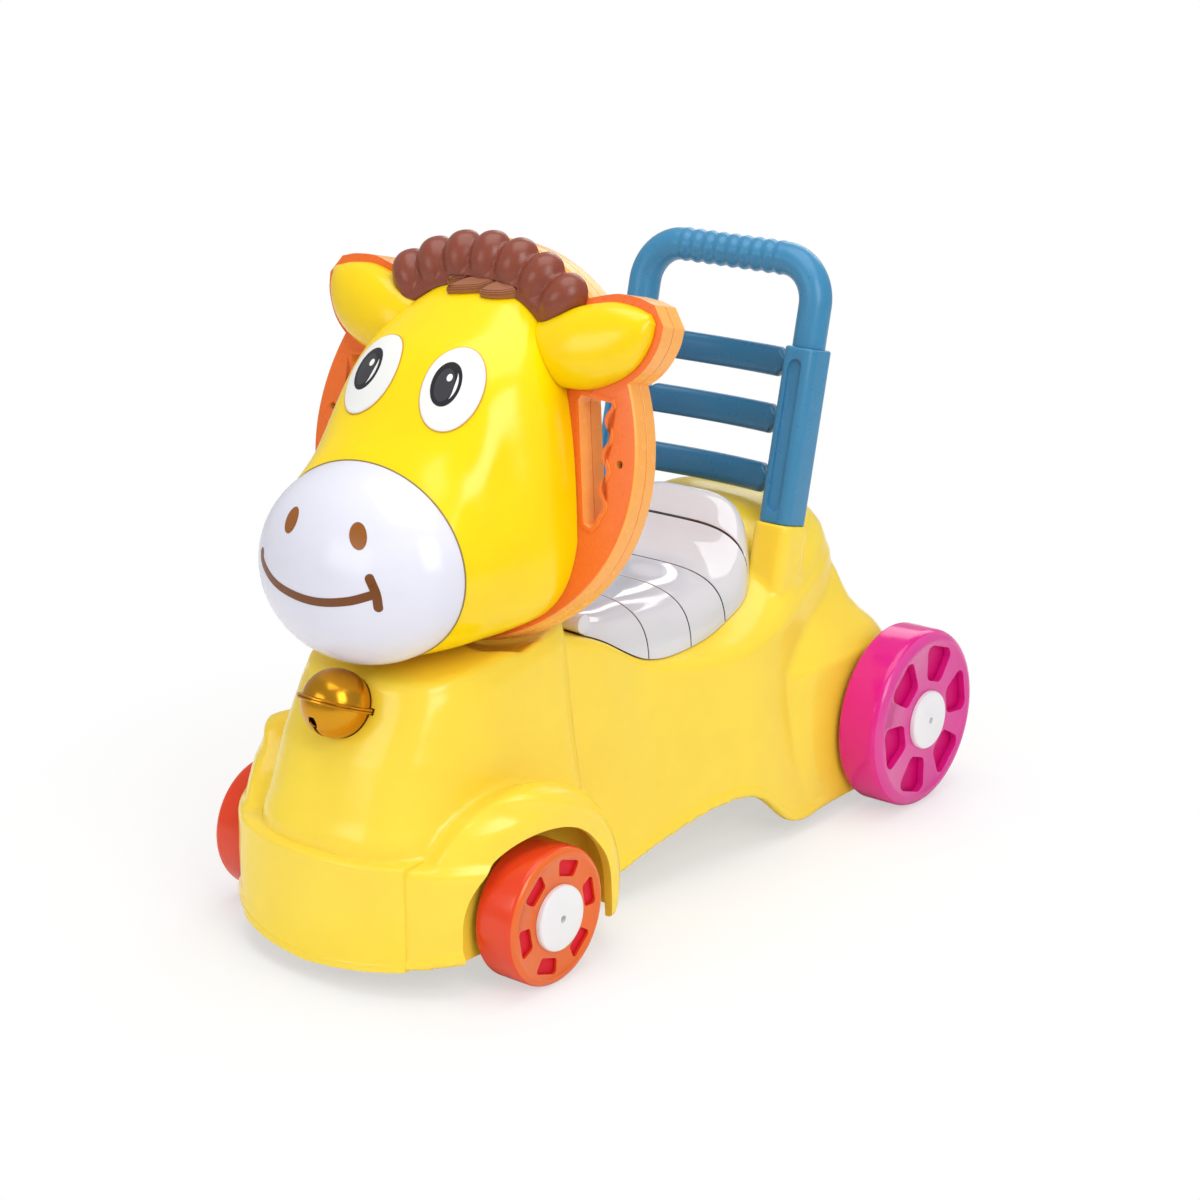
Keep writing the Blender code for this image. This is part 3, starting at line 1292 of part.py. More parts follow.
def bell_half(name, sign, finish):
    """A thin dome with a flat flange round its rim."""
    inner = BELL_RADIUS - BELL_WALL
    rim = sign * SEAT_GAP / 2
    top = sign * BELL_FLANGE_THICKNESS
    angles = np.linspace(0, math.pi / 2, 5)
    start = math.asin(BELL_FLANGE_THICKNESS / BELL_RADIUS)
    profile = []
    for angle in angles[::-1]:
        profile.append((max(inner * math.cos(angle), 0.0), rim + sign * inner * math.sin(angle)))
    profile += [(BELL_RADIUS + BELL_FLANGE_PROUD, rim), (BELL_RADIUS + BELL_FLANGE_PROUD, top)]
    for angle in np.linspace(start, math.pi / 2, 6):
        profile.append((max(BELL_RADIUS * math.cos(angle), 0.0), sign * BELL_RADIUS * math.sin(angle)))
    return turned(name, profile, bell_frame(), 16, finish)


def make_bell(finish, steel):
    upper = bell_half("bell_upper", 1, finish)
    cut(upper, rod("bell_upper_bolt", SCREW_RADIUS + SEAT_GAP, -0.06, 0.0, bell_bolt_frame(), 12))
    lower = bell_half("bell_lower", -1, finish)
    frame = bell_frame()
    half = BELL_SLOT_WIDTH / 2
    reach = BELL_RADIUS * math.sin(math.radians(48))
    depth = -BELL_RADIUS * math.cos(math.radians(48))
    cut(lower, block("bell_slot", (-half, -reach, -0.04), (half, reach, depth - 0.002), frame))
    for number, sign in enumerate((-1, 1)):
        spot = frame @ Matrix.Translation((0, sign * reach, 0))
        cut(lower, rod(f"bell_slot_end_{number}", BELL_SLOT_HOLE, -0.04, depth * 0.75, spot, 16))
    place = frame @ Vector((0, -0.004, -(BELL_RADIUS - BELL_WALL - BELL_PELLET_RADIUS - 0.0012)))
    pellet = ball("bell_pellet", BELL_PELLET_RADIUS, place, 12, 8, steel)
    distance = BELL_RADIUS + BELL_POCKET_GAP + BELL_FLANGE_PROUD + BELL_POCKET_WALL + SEAT_GAP
    fastener = screw("bell_screw", bell_bolt_frame(distance), steel)
    return upper, lower, pellet, fastener


def handle_path():
    """The middle line of the U tube in its own plane: leg, corner, top, corner, leg."""
    corner = HANDLE_CORNER_RADIUS
    foot = SLEEVE_LENGTH + SEAT_GAP
    arc = np.linspace(0, math.pi / 2, 7)
    right = np.column_stack([
        HANDLE_LEG_X - corner + corner * np.cos(arc),
        HANDLE_HEIGHT - corner + corner * np.sin(arc),
    ])
    grip = np.linspace(GRIP_HALF_LENGTH, -GRIP_HALF_LENGTH, GRIP_RIDGES * 3 + 1)
    top = np.column_stack([grip, np.full(len(grip), HANDLE_HEIGHT)])
    left = right[::-1] * np.array([-1, 1])
    top = top[np.abs(grip) < HANDLE_LEG_X - corner - 0.001]
    return np.vstack([[(HANDLE_LEG_X, foot)], right, top, left, [(-HANDLE_LEG_X, foot)]])


def make_handle(finish):
    """The U tube, with slanting ridges round the middle of its top."""
    path = handle_path()
    run = np.gradient(path, axis=0)
    run /= np.linalg.norm(run, axis=1)[:, None]
    turn = np.arange(TUBE_SIDES) * 2 * math.pi / TUBE_SIDES
    rings = []
    for (x, z), (run_x, run_z) in zip(path, run):
        on_grip = max(0.0, min(1.0, (GRIP_HALF_LENGTH - abs(x)) / 0.006)) * (z > HANDLE_HEIGHT - 1e-6)
        phase = x / (2 * GRIP_HALF_LENGTH) * GRIP_RIDGES * 2 * math.pi
        ridge = GRIP_RIDGE_PROUD * on_grip * np.cos(phase + 2 * np.sin(turn))
        radius = HANDLE_TUBE_RADIUS + ridge
        rings.append(np.column_stack([
            x - run_z * radius * np.cos(turn),
            radius * np.sin(turn),
            z + run_x * radius * np.cos(turn),
        ]))
    bar = stacked("handle_bar", placed(rings, handle_frame()), finish)
    for side, word in ((1, "left"), (-1, "right")):
        low = SLEEVE_LENGTH - LEG_SOCKET_DEPTH
        join(bar, rod(f"spigot_{word}", SPIGOT_RADIUS, low, SLEEVE_LENGTH + 0.002, handle_frame(side), 16))
    return bar


def make_sleeve(word, side, finish):
    frame = handle_frame(side)
    half_x, half_y = SLEEVE_SIZE[0] / 2, SLEEVE_SIZE[1] / 2
    outline = rounded_box(half_x, half_y, SLEEVE_CORNER, arc=3)
    sleeve = prism(f"sleeve_{word}", outline, 0.0, SLEEVE_LENGTH, frame, finish)
    join(sleeve, rod(f"sleeve_tenon_{word}", SLEEVE_TENON_RADIUS, -SLEEVE_TENON_LENGTH, 0.002, frame, 16))
    bore = rod(f"sleeve_bore_{word}", SPIGOT_RADIUS + SEAT_GAP, SLEEVE_FLOOR, SLEEVE_LENGTH + 0.01, frame, 16)
    cut(sleeve, bore)
    slot_half, slot_depth = SLEEVE_SLOT[0] / 2, SLEEVE_SLOT[1]
    middle = SLEEVE_LENGTH / 2
    slot = rounded_box(slot_half, middle - 0.010, slot_half - 0.0002, (0, middle), arc=3)
    front = frame @ Matrix(((1, 0, 0, 0), (0, 0, 1, 0), (0, 1, 0, 0), (0, 0, 0, 1)))
    cut(sleeve, prism(f"sleeve_slot_{word}", slot, -half_y - 0.01, -half_y + slot_depth, front))
    for number, height in enumerate(RUNG_HEIGHTS):
        seat = frame @ along_x(0, height)
        inner = -side * half_x
        low, high = sorted((inner - side * 0.01, inner + side * (RUNG_SEAT_DEPTH + SEAT_GAP)))
        cut(sleeve, rod(f"rung_seat_{word}_{number}", RUNG_END_RADIUS + SEAT_GAP, low, high, seat, 12))
    return sleeve


def make_rung(name, height, finish):
    """A flat bar that bows back between the sleeves, with a round end in each."""
    end = HANDLE_LEG_X - SLEEVE_SIZE[0] / 2
    neck = end - 0.005
    stations = [-end - RUNG_SEAT_DEPTH, -end, -neck]
    stations += list(np.linspace(-neck + 0.008, neck - 0.008, 7)) + [neck, end, end + RUNG_SEAT_DEPTH]
    turn = np.arange(12) * 2 * math.pi / 12
    rings = []
    for x in stations:
        inside = abs(x) < neck - 1e-6
        deep, tall = RUNG_SECTION if inside else (RUNG_END_RADIUS, RUNG_END_RADIUS)
        bow = RUNG_BOW * max(0.0, 1 - (x / neck) ** 2)
        section = (np.full(12, x), bow + deep * np.cos(turn), height + tall * np.sin(turn))
        rings.append(np.column_stack(section))
    return stacked(name, placed(rings, handle_frame()), finish)


def make_axle(name, y, z, face_x, finish):
    end = face_x - AXLE_SET_IN
    return rod(name, AXLE_RADIUS, -end, end, along_x(y, z), 16, finish)


def main():
    clear_scene()
    yellow = material("body_yellow", (1.0, 0.72, 0.06), 0.28)
    bright = material("head_yellow", (1.0, 0.76, 0.0), 0.25)
    white = material("muzzle_white", (0.80, 0.80, 0.88), 0.25)
    brown = material("mane_brown", (0.24, 0.07, 0.035), 0.45)
    orange = material("disc_orange", (0.88, 0.20, 0.035), 0.35)
    red = material("front_wheel_red", (0.90, 0.12, 0.05), 0.3)
    dark_red = material("front_wheel_back_red", (0.75, 0.03, 0.05), 0.4)
    pink = material("rear_wheel_pink", (0.80, 0.05, 0.25), 0.3)
    dark_pink = material("rear_wheel_back_pink", (0.6, 0.01, 0.15), 0.4)
    cap_white = material("cap_white", (0.85, 0.85, 0.85), 0.3)
    blue = material("handle_blue", (0.07, 0.32, 0.55), 0.3)
    gold = material("bell_gold", (0.75, 0.35, 0.02), 0.2, 0.8)
    steel = material("steel", (0.6, 0.6, 0.62), 0.3, 1.0)
    seat_white = material("seat_white", (0.85, 0.85, 0.86), 0.12)

    make_body(yellow)
    make_chassis(yellow)
    for side, word in ((1, "left"), (-1, "right")):
        for (x, y, _), place in zip(COLUMNS, ("front", "rear")):
            frame = Matrix.Translation((side * x, y, CHASSIS_Z[0] - SEAT_GAP))
            screw(f"chassis_screw_{place}_{word}", frame, steel)
    make_bin(seat_white)
    make_axle("front_axle", FRONT_AXLE_Y, FRONT_WHEEL_RADIUS, FRONT_FACE_X, steel)
    make_axle("rear_axle", REAR_AXLE_Y, REAR_WHEEL_RADIUS, REAR_FACE_X, steel)
    for side, word in ((1, "left"), (-1, "right")):
        make_wheel(f"front_{word}", side, FRONT_AXLE_Y, FRONT_WHEEL_RADIUS, FRONT_WHEEL_WIDTH, FRONT_FACE_X,
                   FRONT_WINDOW, red, dark_red, cap_white)
        make_wheel(f"rear_{word}", side, REAR_AXLE_Y, REAR_WHEEL_RADIUS, REAR_WHEEL_WIDTH, REAR_FACE_X,
                   REAR_WINDOW, pink, dark_pink, cap_white)
        make_sleeve(word, side, blue)
    make_handle(blue)
    for name, height in zip(("rung_lower", "rung_middle", "rung_upper"), RUNG_HEIGHTS):
        make_rung(name, height, blue)

    make_bell(gold, steel)
    lid = make_lid(seat_white)
    pin_half = LUG_X + 0.010
    rod("seat_hinge_pin", LID_PIN_RADIUS, -pin_half, pin_half, along_x(*LID_HINGE), 12, steel)
    carry(axis_empty("lid_axis", (0, *LID_HINGE)), lid)

    head_pieces = [make_head(bright), make_muzzle(white), make_mane(brown), make_forelock(brown)]
    head_pieces += make_disc(orange)
    head_pieces += make_swivel(orange, steel)
    for side, word in ((1, "left"), (-1, "right")):
        head_pieces.append(make_eye(word, side, white))
        head_pieces.append(make_ear(word, side, bright))
        head_pieces.append(make_disc_screw(word, side, steel))
    carry(axis_empty("head_axis", (0, SWIVEL_Y, DISH_FLOOR)), *head_pieces)


main()
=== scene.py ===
"""Ride-on pony scooter: finished surfaces and materials around its solids, laid out as a Blender add-on.

Metres, +Z up. The pony faces -Y and its own left side is +X. Every surface is worked out with numpy.
"""

import math

import bpy
import numpy as np
from bpy.props import FloatProperty, FloatVectorProperty, IntProperty, PointerProperty
from mathutils import Matrix, Vector


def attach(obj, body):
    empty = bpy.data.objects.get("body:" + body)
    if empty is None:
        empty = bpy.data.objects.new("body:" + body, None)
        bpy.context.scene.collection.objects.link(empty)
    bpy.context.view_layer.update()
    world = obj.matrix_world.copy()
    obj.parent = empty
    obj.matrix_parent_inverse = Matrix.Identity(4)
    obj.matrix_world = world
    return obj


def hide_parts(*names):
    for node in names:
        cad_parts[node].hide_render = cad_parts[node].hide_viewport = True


bl_info = {
    "name": "Ride-on pony scooter",
    "version": (1, 0, 0),
    "blender": (4, 5, 0),
    "location": "3D View > Sidebar > Pony",
    "description": "Builds the pony scooter's surfaces, materials, light and camera",
    "category": "Object",
}

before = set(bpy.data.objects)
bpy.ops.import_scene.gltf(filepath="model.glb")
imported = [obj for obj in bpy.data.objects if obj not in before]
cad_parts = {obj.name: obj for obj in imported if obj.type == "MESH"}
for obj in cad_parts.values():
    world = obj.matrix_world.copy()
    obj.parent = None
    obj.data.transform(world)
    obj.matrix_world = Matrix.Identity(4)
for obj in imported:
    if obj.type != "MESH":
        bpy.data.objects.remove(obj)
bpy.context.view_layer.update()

SIDES = ((1, "left"), (-1, "right"))

# Clearances between neighbouring surfaces
SKIN_GAP = 0.0003
CURVED_GAP = 0.0006
WALL = 0.003

# Heights below the floor from which hollows and cuts start
BELOW_FLOOR = -0.01
FAR_BELOW = -0.05

# Camera that took the photograph's view
CAMERA_PLACE = (1.30773, -1.62881, 0.89514)
CAMERA_AIM = (-0.58956, 0.74584, -0.31008)
CAMERA_LENS = 80.79

# Axles: place along Y, wheel radius, wheel width, outer face
FRONT_AXLE = (-0.219, 0.054, 0.037, 0.155)
REAR_AXLE = (0.251, 0.078, 0.041, 0.181)
CAP_RADIUS = 0.0255
HUB_RADIUS = 0.011
AXLE_RADIUS = 0.0043

# Wheels: the windows' inner radius, outer radius and spread in radians, then the shoulder's and web's depth
FRONT_WINDOW = (0.0318, 0.0446, 0.56)
REAR_WINDOW = (0.034, 0.0652, 0.66)
FRONT_DEPTHS = (0.0065, 0.0040)
REAR_DEPTHS = (0.0100, 0.0080)
WINDOW_COUNT = 6
WINDOW_START = math.radians(71)
FACE_DISH = 0.0015
BORE_RADIUS = 0.0046

# Front envelope in plan: centre along Y, half width, depth, power
ENVELOPE = (-0.18, 0.150, 0.1475, 2.2)
BUMPER_FOOT = 0.016
FOOT_RISE = ((0.0, 0.0), (0.057, 0.004), (0.09, 0.007), (0.115, 0.011))
BUMPER_TOP = 0.102
BAND_HALF_WIDTH = 0.086
BAND_PROUD = 0.0026
BAND_EASE = 0.0035
BAND_DEPTH = 0.02
BAND_EDGE = 0.004
BAND_RISE = 0.002
BUMPER_EDGE = 0.007
LIP = 0.0025
LIP_HEIGHT = 0.006
CAVITY_HALF_WIDTH = 0.108

# Mudguards: reach along X against radius, and how the plan envelope draws in with height
GUARD_PROFILE = (
    (0.1500, 0.0720),
    (0.1485, 0.0800),
    (0.1430, 0.0885),
    (0.1350, 0.0945),
    (0.1260, 0.0965),
    (0.1160, 0.0950),
    (0.1060, 0.0905),
    (0.0950, 0.0860),
    (0.0850, 0.0830),
)
GUARD_TAPER = (
    (BUMPER_FOOT, 0.0),
    (0.078, 0.0),
    (0.100, 0.006),
    (0.125, 0.022),
    (0.155, 0.045),
    (0.300, 0.045),
)
GUARD_REACH = 0.110
WELL_OPENING_RADIUS = 0.066
WELL_INNER_X = 0.1115
WELL_LIP = 0.0075

# Neck: height, half width, front edge and power of the plan outline, up to its sloping top
NECK_BACK_Y = -0.142
NECK_BACK_DEPTH = 0.042
NECK_TOP = (-0.142, 0.241)
NECK_TOP_SLOPE = math.radians(8.0)
NECK_SLOPE_START = 0.170
NECK_ROWS = (
    (0.030, 0.1075, -0.322, 3.0),
    (0.102, 0.1040, -0.321, 3.0),
    (0.130, 0.0980, -0.312, 3.1),
    (0.170, 0.0900, -0.297, 3.3),
    (0.209, 0.0850, -0.283, 3.5),
    (0.232, 0.0825, -0.275, 3.5),
    (0.241, 0.0800, -0.272, 3.5),
)
NECK_EDGE = 0.009
NECK_CEILING = 0.2163

# Space that the turning head needs above the neck
HEAD_TURN = math.radians(20)
SWING_STEPS = 9
SWING_GAP = 0.003
POST_SPACE_RADIUS = 0.021
SWIVEL_HOLE_RADIUS = 0.0129
DISH_FLOOR = 0.2193
DISH_REACH = (0.052, 0.13)
DISH_TOP = 0.30

# Seat body: place along Y, half width of rim and foot, height of rim and foot, hump of the deck
SEAT_ROWS = (
    (-0.150, 0.070, 0.085, 0.234, 0.030, 0.000),
    (-0.110, 0.079, 0.094, 0.227, 0.020, 0.002),
    (-0.074, 0.086, 0.100, 0.214, 0.026, 0.003),
    (-0.023, 0.091, 0.107, 0.186, 0.040, 0.004),
    (0.039, 0.107, 0.117, 0.173, 0.051, 0.015),
    (0.080, 0.117, 0.126, 0.177, 0.046, 0.018),
    (0.120, 0.118, 0.133, 0.187, 0.014, 0.030),
    (0.171, 0.108, 0.134, 0.203, 0.014, 0.056),
    (0.217, 0.097, 0.128, 0.217, 0.014, 0.048),
    (0.245, 0.078, 0.100, 0.223, 0.014, 0.030),
    (0.259, 0.045, 0.060, 0.225, 0.014, 0.016),
    (0.263, 0.000, 0.000, 0.225, 0.014, 0.010),
)
SEAT_CENTRE_Y = 0.05
DECK_POWER = 5
DECK_EDGE = 0.008
DECK_SCALES = (0.96, 0.92, 0.87, 0.81, 0.74, 0.66, 0.57, 0.47, 0.36, 0.24, 0.12, 0.03)

# Rear skirt: height, half width, front and rear edge
SKIRT_ROWS = (
    (0.014, 0.1355, 0.105, 0.290),
    (0.128, 0.1350, 0.108, 0.287),
    (0.143, 0.1322, 0.112, 0.283),
    (0.154, 0.1265, 0.118, 0.276),
    (0.165, 0.1185, 0.128, 0.264),
    (0.180, 0.1088, 0.143, 0.253),
    (0.204, 0.0950, 0.172, 0.246),
    (0.214, 0.0850, 0.190, 0.240),
)
SKIRT_POWER = 5.0

# Seat lid: place along Y, half width and crown height
LID_ROWS = (
    (-0.0870, 0.0760, 0.2385),
    (-0.0500, 0.0835, 0.2345),
    (-0.0210, 0.0870, 0.2325),
    (0.0340, 0.0880, 0.2300),
    (0.0810, 0.0880, 0.2320),
    (0.1080, 0.0875, 0.2440),
    (0.1270, 0.0785, 0.2640),
    (0.1420, 0.0660, 0.2780),
    (0.1520, 0.0500, 0.2750),
    (0.1575, 0.0260, 0.2620),
)
LID_POWER = 3.6
LID_GROOVES_Y = (-0.021, 0.034, 0.081, 0.122)
LID_HINGE = (-0.088, 0.2315)
LID_BARREL_RADIUS = 0.0075
LID_BARREL_REACH = 0.074
PIN_BORE_RADIUS = 0.0023
LUG_X = 0.045
LUG_WIDTH = 0.005
LUG_RADIUS = 0.0065
LUG_SLOT_RADIUS = 0.0069
LUG_SIDE_GAP = 0.0004
# Half width of the painted shade along each of the lid's grooves
GROOVE_SHADE_HALF = 0.0007

# Storage bin's recess in the deck
BIN_Y = (-0.043, 0.103)
BIN_HALF_WIDTH = 0.0565
BIN_FLANGE = 0.008
BIN_LEDGE_Z = 0.174
BIN_CORNER = 0.014

# Disc
DISC_CENTRE = (-0.1345, 0.3778)
DISC_TILT = math.radians(13.5)
DISC_RADIUS = 0.1535
DISC_THICKNESS = 0.0265
DISC_SWELL = 0.0085
DISC_SWELL_PLACE = (-20.0, 32.0)
BACKING_MARGIN = 0.005
SLOT_TOP = 0.046
SLOT_BOTTOM = -0.042
SLOT_INNER_X = (0.0990, 0.1185)
SLOT_OUTER_X = (0.1275, 0.1335)
SLOT_WAVE = 0.0028
SLOT_WAVE_COUNT = 3.5
DISC_EDGE = 0.0035

# Disc screws: place across and up the disc, then the counterbore's radius and depth, boss and bolt radius
DISC_SCREW_PLACE = (0.1437, 0.003)
DISC_COUNTERBORE = (0.0032, 0.0090)
DISC_BOSS_RADIUS = 0.0062
DISC_BOLT_RADIUS = 0.0016

# Head: centre along Y and Z, tilt in degrees, half width of the brow, upper and lower height, narrowing,
# upper and lower power, half width of the cheek
HEAD_ROWS = (
    (-0.1487, 0.3200, 13.5, 0.1165, 0.1870, 0.0800, 0.33, 2.80, 2.7, 0.1165),
    (-0.1750, 0.3180, 10.0, 0.1145, 0.1610, 0.0780, 0.23, 3.70, 2.7, 0.1140),
    (-0.2000, 0.3150, 5.0, 0.0950, 0.1370, 0.0760, 0.07, 3.10, 2.6, 0.1080),
    (-0.2250, 0.3115, 3.0, 0.0960, 0.0983, 0.0745, 0.09, 2.45, 2.4, 0.1020),
    (-0.2497, 0.3088, 2.5, 0.0949, 0.0735, 0.0735, 0.00, 2.00, 2.0, 0.0949),
)
BROW_START = 0.55
SEAM_TILT = math.radians(2.5)
MUZZLE_REACH = (-0.0623, -0.0104)
SWIVEL_Y = -0.195

# Eyes: how far each layer draws in and stands out
EYE_CENTRE = (0.0398, -0.200, 0.4357)
EYE_FACING = (0.17, -0.80, 0.57)
EYE_LAYERS = ((0.0, 0.0013), (0.0004, 0.0018), (0.0012, 0.0022))
EYE_EDGE_LAYERS = ((0.0, 0.0009),)
PUPIL_LAYERS = ((0.0, 0.0025),)
MIDDLE_LAYERS = ((0.0, 0.00265),)
SHINE_LAYERS = ((0.0, 0.0028),)
PUPIL_CENTRE = (-0.0045, 0.0022)

# Marks on the muzzle, as places along X and Z
NOSTRIL_PLACE = (0.033, 0.3436)
NOSTRIL_SIZE = (0.0068, 0.0087)
NOSTRIL_SHEAR = -0.45
SMILE = (
    (-0.0655, 0.3165),
    (-0.0610, 0.3075),
    (-0.0420, 0.2985),
    (-0.0180, 0.2945),
    (0.0080, 0.2940),
    (0.0340, 0.2985),
    (0.0545, 0.3060),
)
SMILE_CORNER = ((0.0475, 0.3195), (0.0515, 0.3130), (0.0553, 0.3050), (0.0570, 0.2930))

# Ears, mane and forelock
EAR_RUN = ((0.058, 0.076), (0.1122, 0.0779), (0.1556, 0.1109))
EAR_ROWS = (
    (0.00, 0.0220, 0.020),
    (0.22, 0.0280, 0.024),
    (0.45, 0.0310, 0.024),
    (0.72, 0.0270, 0.019),
    (0.90, 0.0160, 0.013),
    (1.00, 0.0040, 0.006),
)
MANE_RADIUS = 0.1280
LOBE_STEP = math.radians(11.0)
FORELOCK_PLACE = (0.0, -0.132, 0.488)
FORELOCK_FACING = (0.0, -0.5, 0.866)
FORELOCK_LAYERS = ((0.0, 0.0048), (0.0008, 0.0066), (0.0018, 0.0078), (0.0032, 0.0086))
FORELOCK_LOCKS = (
    ((-0.031, 0.007), (-0.024, 0.017), (-0.012, 0.028), (0.006, 0.034),
     (0.010, 0.026), (-0.004, 0.020), (-0.018, 0.012)),
    ((-0.025, -0.002), (-0.019, 0.008), (-0.006, 0.019), (0.012, 0.029),
     (0.020, 0.018), (0.010, 0.006), (-0.008, 0.001)),
    ((0.006, 0.001), (0.014, 0.013), (0.022, 0.022), (0.034, 0.019),
     (0.041, 0.011), (0.030, 0.003), (0.018, 0.000)),
)

# Bell
BELL_CENTRE = (-0.2885, 0.208)
BELL_LEAN = math.radians(22.0)
BELL_RADIUS = 0.0262
BELL_WALL = 0.0014
BELL_GAP = 0.0008
BELL_POCKET_WALL = 0.007
BELL_SLOT_HALF = 0.0015
BELL_SLOT_END_RADIUS = 0.0038
BELL_SLOT_ANGLE = math.radians(48)

# Push handle
HANDLE_FOOT = (0.1583, 0.2589)
HANDLE_LEAN = math.atan(0.238)
HANDLE_LEG_X = 0.0884
HANDLE_CORNER = 0.036
HANDLE_HEIGHT = 0.2176
SLEEVE_SIZE = (0.031, 0.034)
SLEEVE_LENGTH = 0.147
SLEEVE_CORNER = 0.009
POST_SIZE = (0.036, 0.038)
SPIGOT_RADIUS = 0.0105
SLEEVE_BORE_RADIUS = 0.0108
TENON_RADIUS = 0.0095
TENON_BORE_RADIUS = 0.0098
GRIP_HALF_LENGTH = 0.055
RUNG_HEIGHTS = (0.034, 0.084, 0.132)
RUNG_BOW = 0.016
SLEEVE_EDGES = (0.0012, 0.0022)
RUNG_SEAT_RADIUS = 0.0063
RUNG_END = 0.006
RUNG_MIDDLE = (0.0075, 0.0125)


def size(label, value, tip):
    return FloatProperty(name=label, description=tip, default=value, min=0.0, unit="LENGTH", precision=4)


def count(label, value, tip):
    return IntProperty(name=label, description=tip, default=value, min=1)


def colour(label, value, tip):
    return FloatVectorProperty(
        name=label, description=tip, default=value, subtype="COLOR", size=3, min=0.0, max=1.0)


class PonySizes(bpy.types.PropertyGroup):
    """Sizes that shape the pieces' surfaces."""

    body_voxel: size("Body voxel", 0.00245, "Cell size of the body's skin, which rounds its inner corners")
    body_smoothing: count("Body smoothing", 5, "How often the body's skin is smoothed")
    mane_voxel: size("Mane voxel", 0.0015, "Cell size of the mane's skin")
    lobe_width: size("Lobe width", 0.0172, "Half width of one of the mane's lobes")
    lobe_length: size("Lobe length", 0.0220, "Half length of one of the mane's lobes")
    lobe_depth: size("Lobe depth", 0.0205, "How far a lobe stands out in front of the disc")
    lobe_count: count("Lobes", 7, "Number of lobes in the mane")
    eye_width: size("Eye width", 0.0510, "Width of an eye's white")
    eye_height: size("Eye height", 0.069, "Height of an eye's white")
    smile_width: size("Smile width", 0.0064, "Width of the painted smile at its middle")
    mark_proud: size("Mark height", 0.00025, "How far a painted mark stands on the muzzle")
    tube_radius: size("Tube radius", 0.0138, "Radius of the push handle's tube")
    ridge_height: size("Ridge height", 0.0007, "Height of the grip's slanting ridges")
    ridge_count: count("Ridges", 9, "Number of ridges on the grip")
    bell_flange: size("Bell flange", 0.0032, "How far the bell's flange stands out")
    lid_groove: size("Lid groove", 0.0011, "Depth of the grooves across the seat lid")


class PonyColours(bpy.types.PropertyGroup):
    """Colours of the plastics and paints, as linear values."""

    body: colour("Body", (1.0, 0.730, 0.060), "Yellow of the body")
    head: colour("Head", (1.0, 0.700, 0.0), "Yellow of the head")
    ear: colour("Ear", (0.93, 0.64, 0.0), "Yellow of the ears")
    muzzle: colour("Muzzle", (0.76, 0.76, 0.86), "Cool white of the muzzle")
    mane: colour("Mane", (0.235, 0.055, 0.030), "Brown of the mane")
    forelock: colour("Forelock", (0.33, 0.125, 0.060), "Brown of the forelock")
    disc: colour("Disc", (0.86, 0.165, 0.020), "Orange of the disc's face")
    # Painted highlight: the rim is the disc's own orange, made lighter here for the light that falls on it.
    disc_rim: colour("Disc rim", (0.96, 0.42, 0.085), "Lighter orange of the disc's rim")
    nostril: colour("Nostril", (0.30, 0.092, 0.007), "Brown of the nostrils")
    smile: colour("Smile", (0.175, 0.047, 0.001), "Dark brown of the smile")
    pupil: colour("Pupil", (0.018, 0.018, 0.022), "Dark grey of the pupils")
    # Painted light and shade on the front wheels: one red-orange plastic, its face in the lit colour, its
    # tread and inside darkened as shade.
    front_lit_face: colour("Front wheel face", (0.82, 0.150, 0.022), "Orange of the front wheels' faces")
    front_shaded_tread: colour("Front wheel tread", (0.80, 0.055, 0.012), "Red of the front wheels' treads")
    front_back: colour("Front wheel inside", (0.72, 0.012, 0.028), "Red inside the front wheels")
    # Painted light and shade on the rear wheels: one pink plastic, its face in the lit colour, its tread and
    # inside darkened as shade.
    rear_lit_face: colour("Rear wheel face", (0.74, 0.060, 0.330), "Pink of the rear wheels' faces")
    rear_shaded_tread: colour("Rear wheel tread", (0.76, 0.012, 0.280), "Pink of the rear wheels' treads")
    rear_back: colour("Rear wheel inside", (0.68, 0.003, 0.180), "Pink inside the rear wheels")
    cap: colour("Cap", (0.86, 0.86, 0.88), "White of the axle caps")
    handle: colour("Handle", (0.045, 0.245, 0.450), "Blue of the push handle")
    rung: colour("Rung", (0.022, 0.150, 0.290), "Blue of the rungs")
    bell: colour("Bell", (0.66, 0.30, 0.012), "Gold of the bell")
    seat: colour("Seat", (0.70, 0.70, 0.73), "White of the seat lid")
    steel: colour("Steel", (0.55, 0.55, 0.57), "Steel of the axles and screws")


def sizes():
    return bpy.context.scene.pony_sizes


def colours():
    return bpy.context.scene.pony_colours


# Meshes


def mesh_piece(name, points, quads, fans, uv=None):
    """A mesh from arrays of points, quads and triangles, turned so that its enclosed volume is positive."""
    triangles = np.concatenate([quads[:, [0, 1, 2]], quads[:, [0, 2, 3]], fans])
    a, b, c = points[triangles[:, 0]], points[triangles[:, 1]], points[triangles[:, 2]]
    if np.einsum("ij,ij->i", a, np.cross(b, c)).sum() < 0:
        quads, fans = quads[:, ::-1], fans[:, ::-1]
    corners = np.concatenate([quads.ravel(), fans.ravel()])
    totals = np.concatenate([np.full(len(quads), 4), np.full(len(fans), 3)])
    starts = np.concatenate([[0], np.cumsum(totals)[:-1]])
    mesh = bpy.data.meshes.new(name)
    mesh.vertices.add(len(points))
    mesh.vertices.foreach_set("co", points.astype(np.float32).ravel())
    mesh.loops.add(len(corners))
    mesh.loops.foreach_set("vertex_index", corners.astype(np.int32))
    mesh.polygons.add(len(totals))
    mesh.polygons.foreach_set("loop_start", starts.astype(np.int32))
    mesh.update(calc_edges=True)
    if uv is not None:
        layer = mesh.uv_layers.new(name="pattern")
        layer.data.foreach_set("uv", uv[corners].astype(np.float32).ravel())
    piece = bpy.data.objects.new(name, mesh)
    bpy.context.scene.collection.objects.link(piece)
    return piece


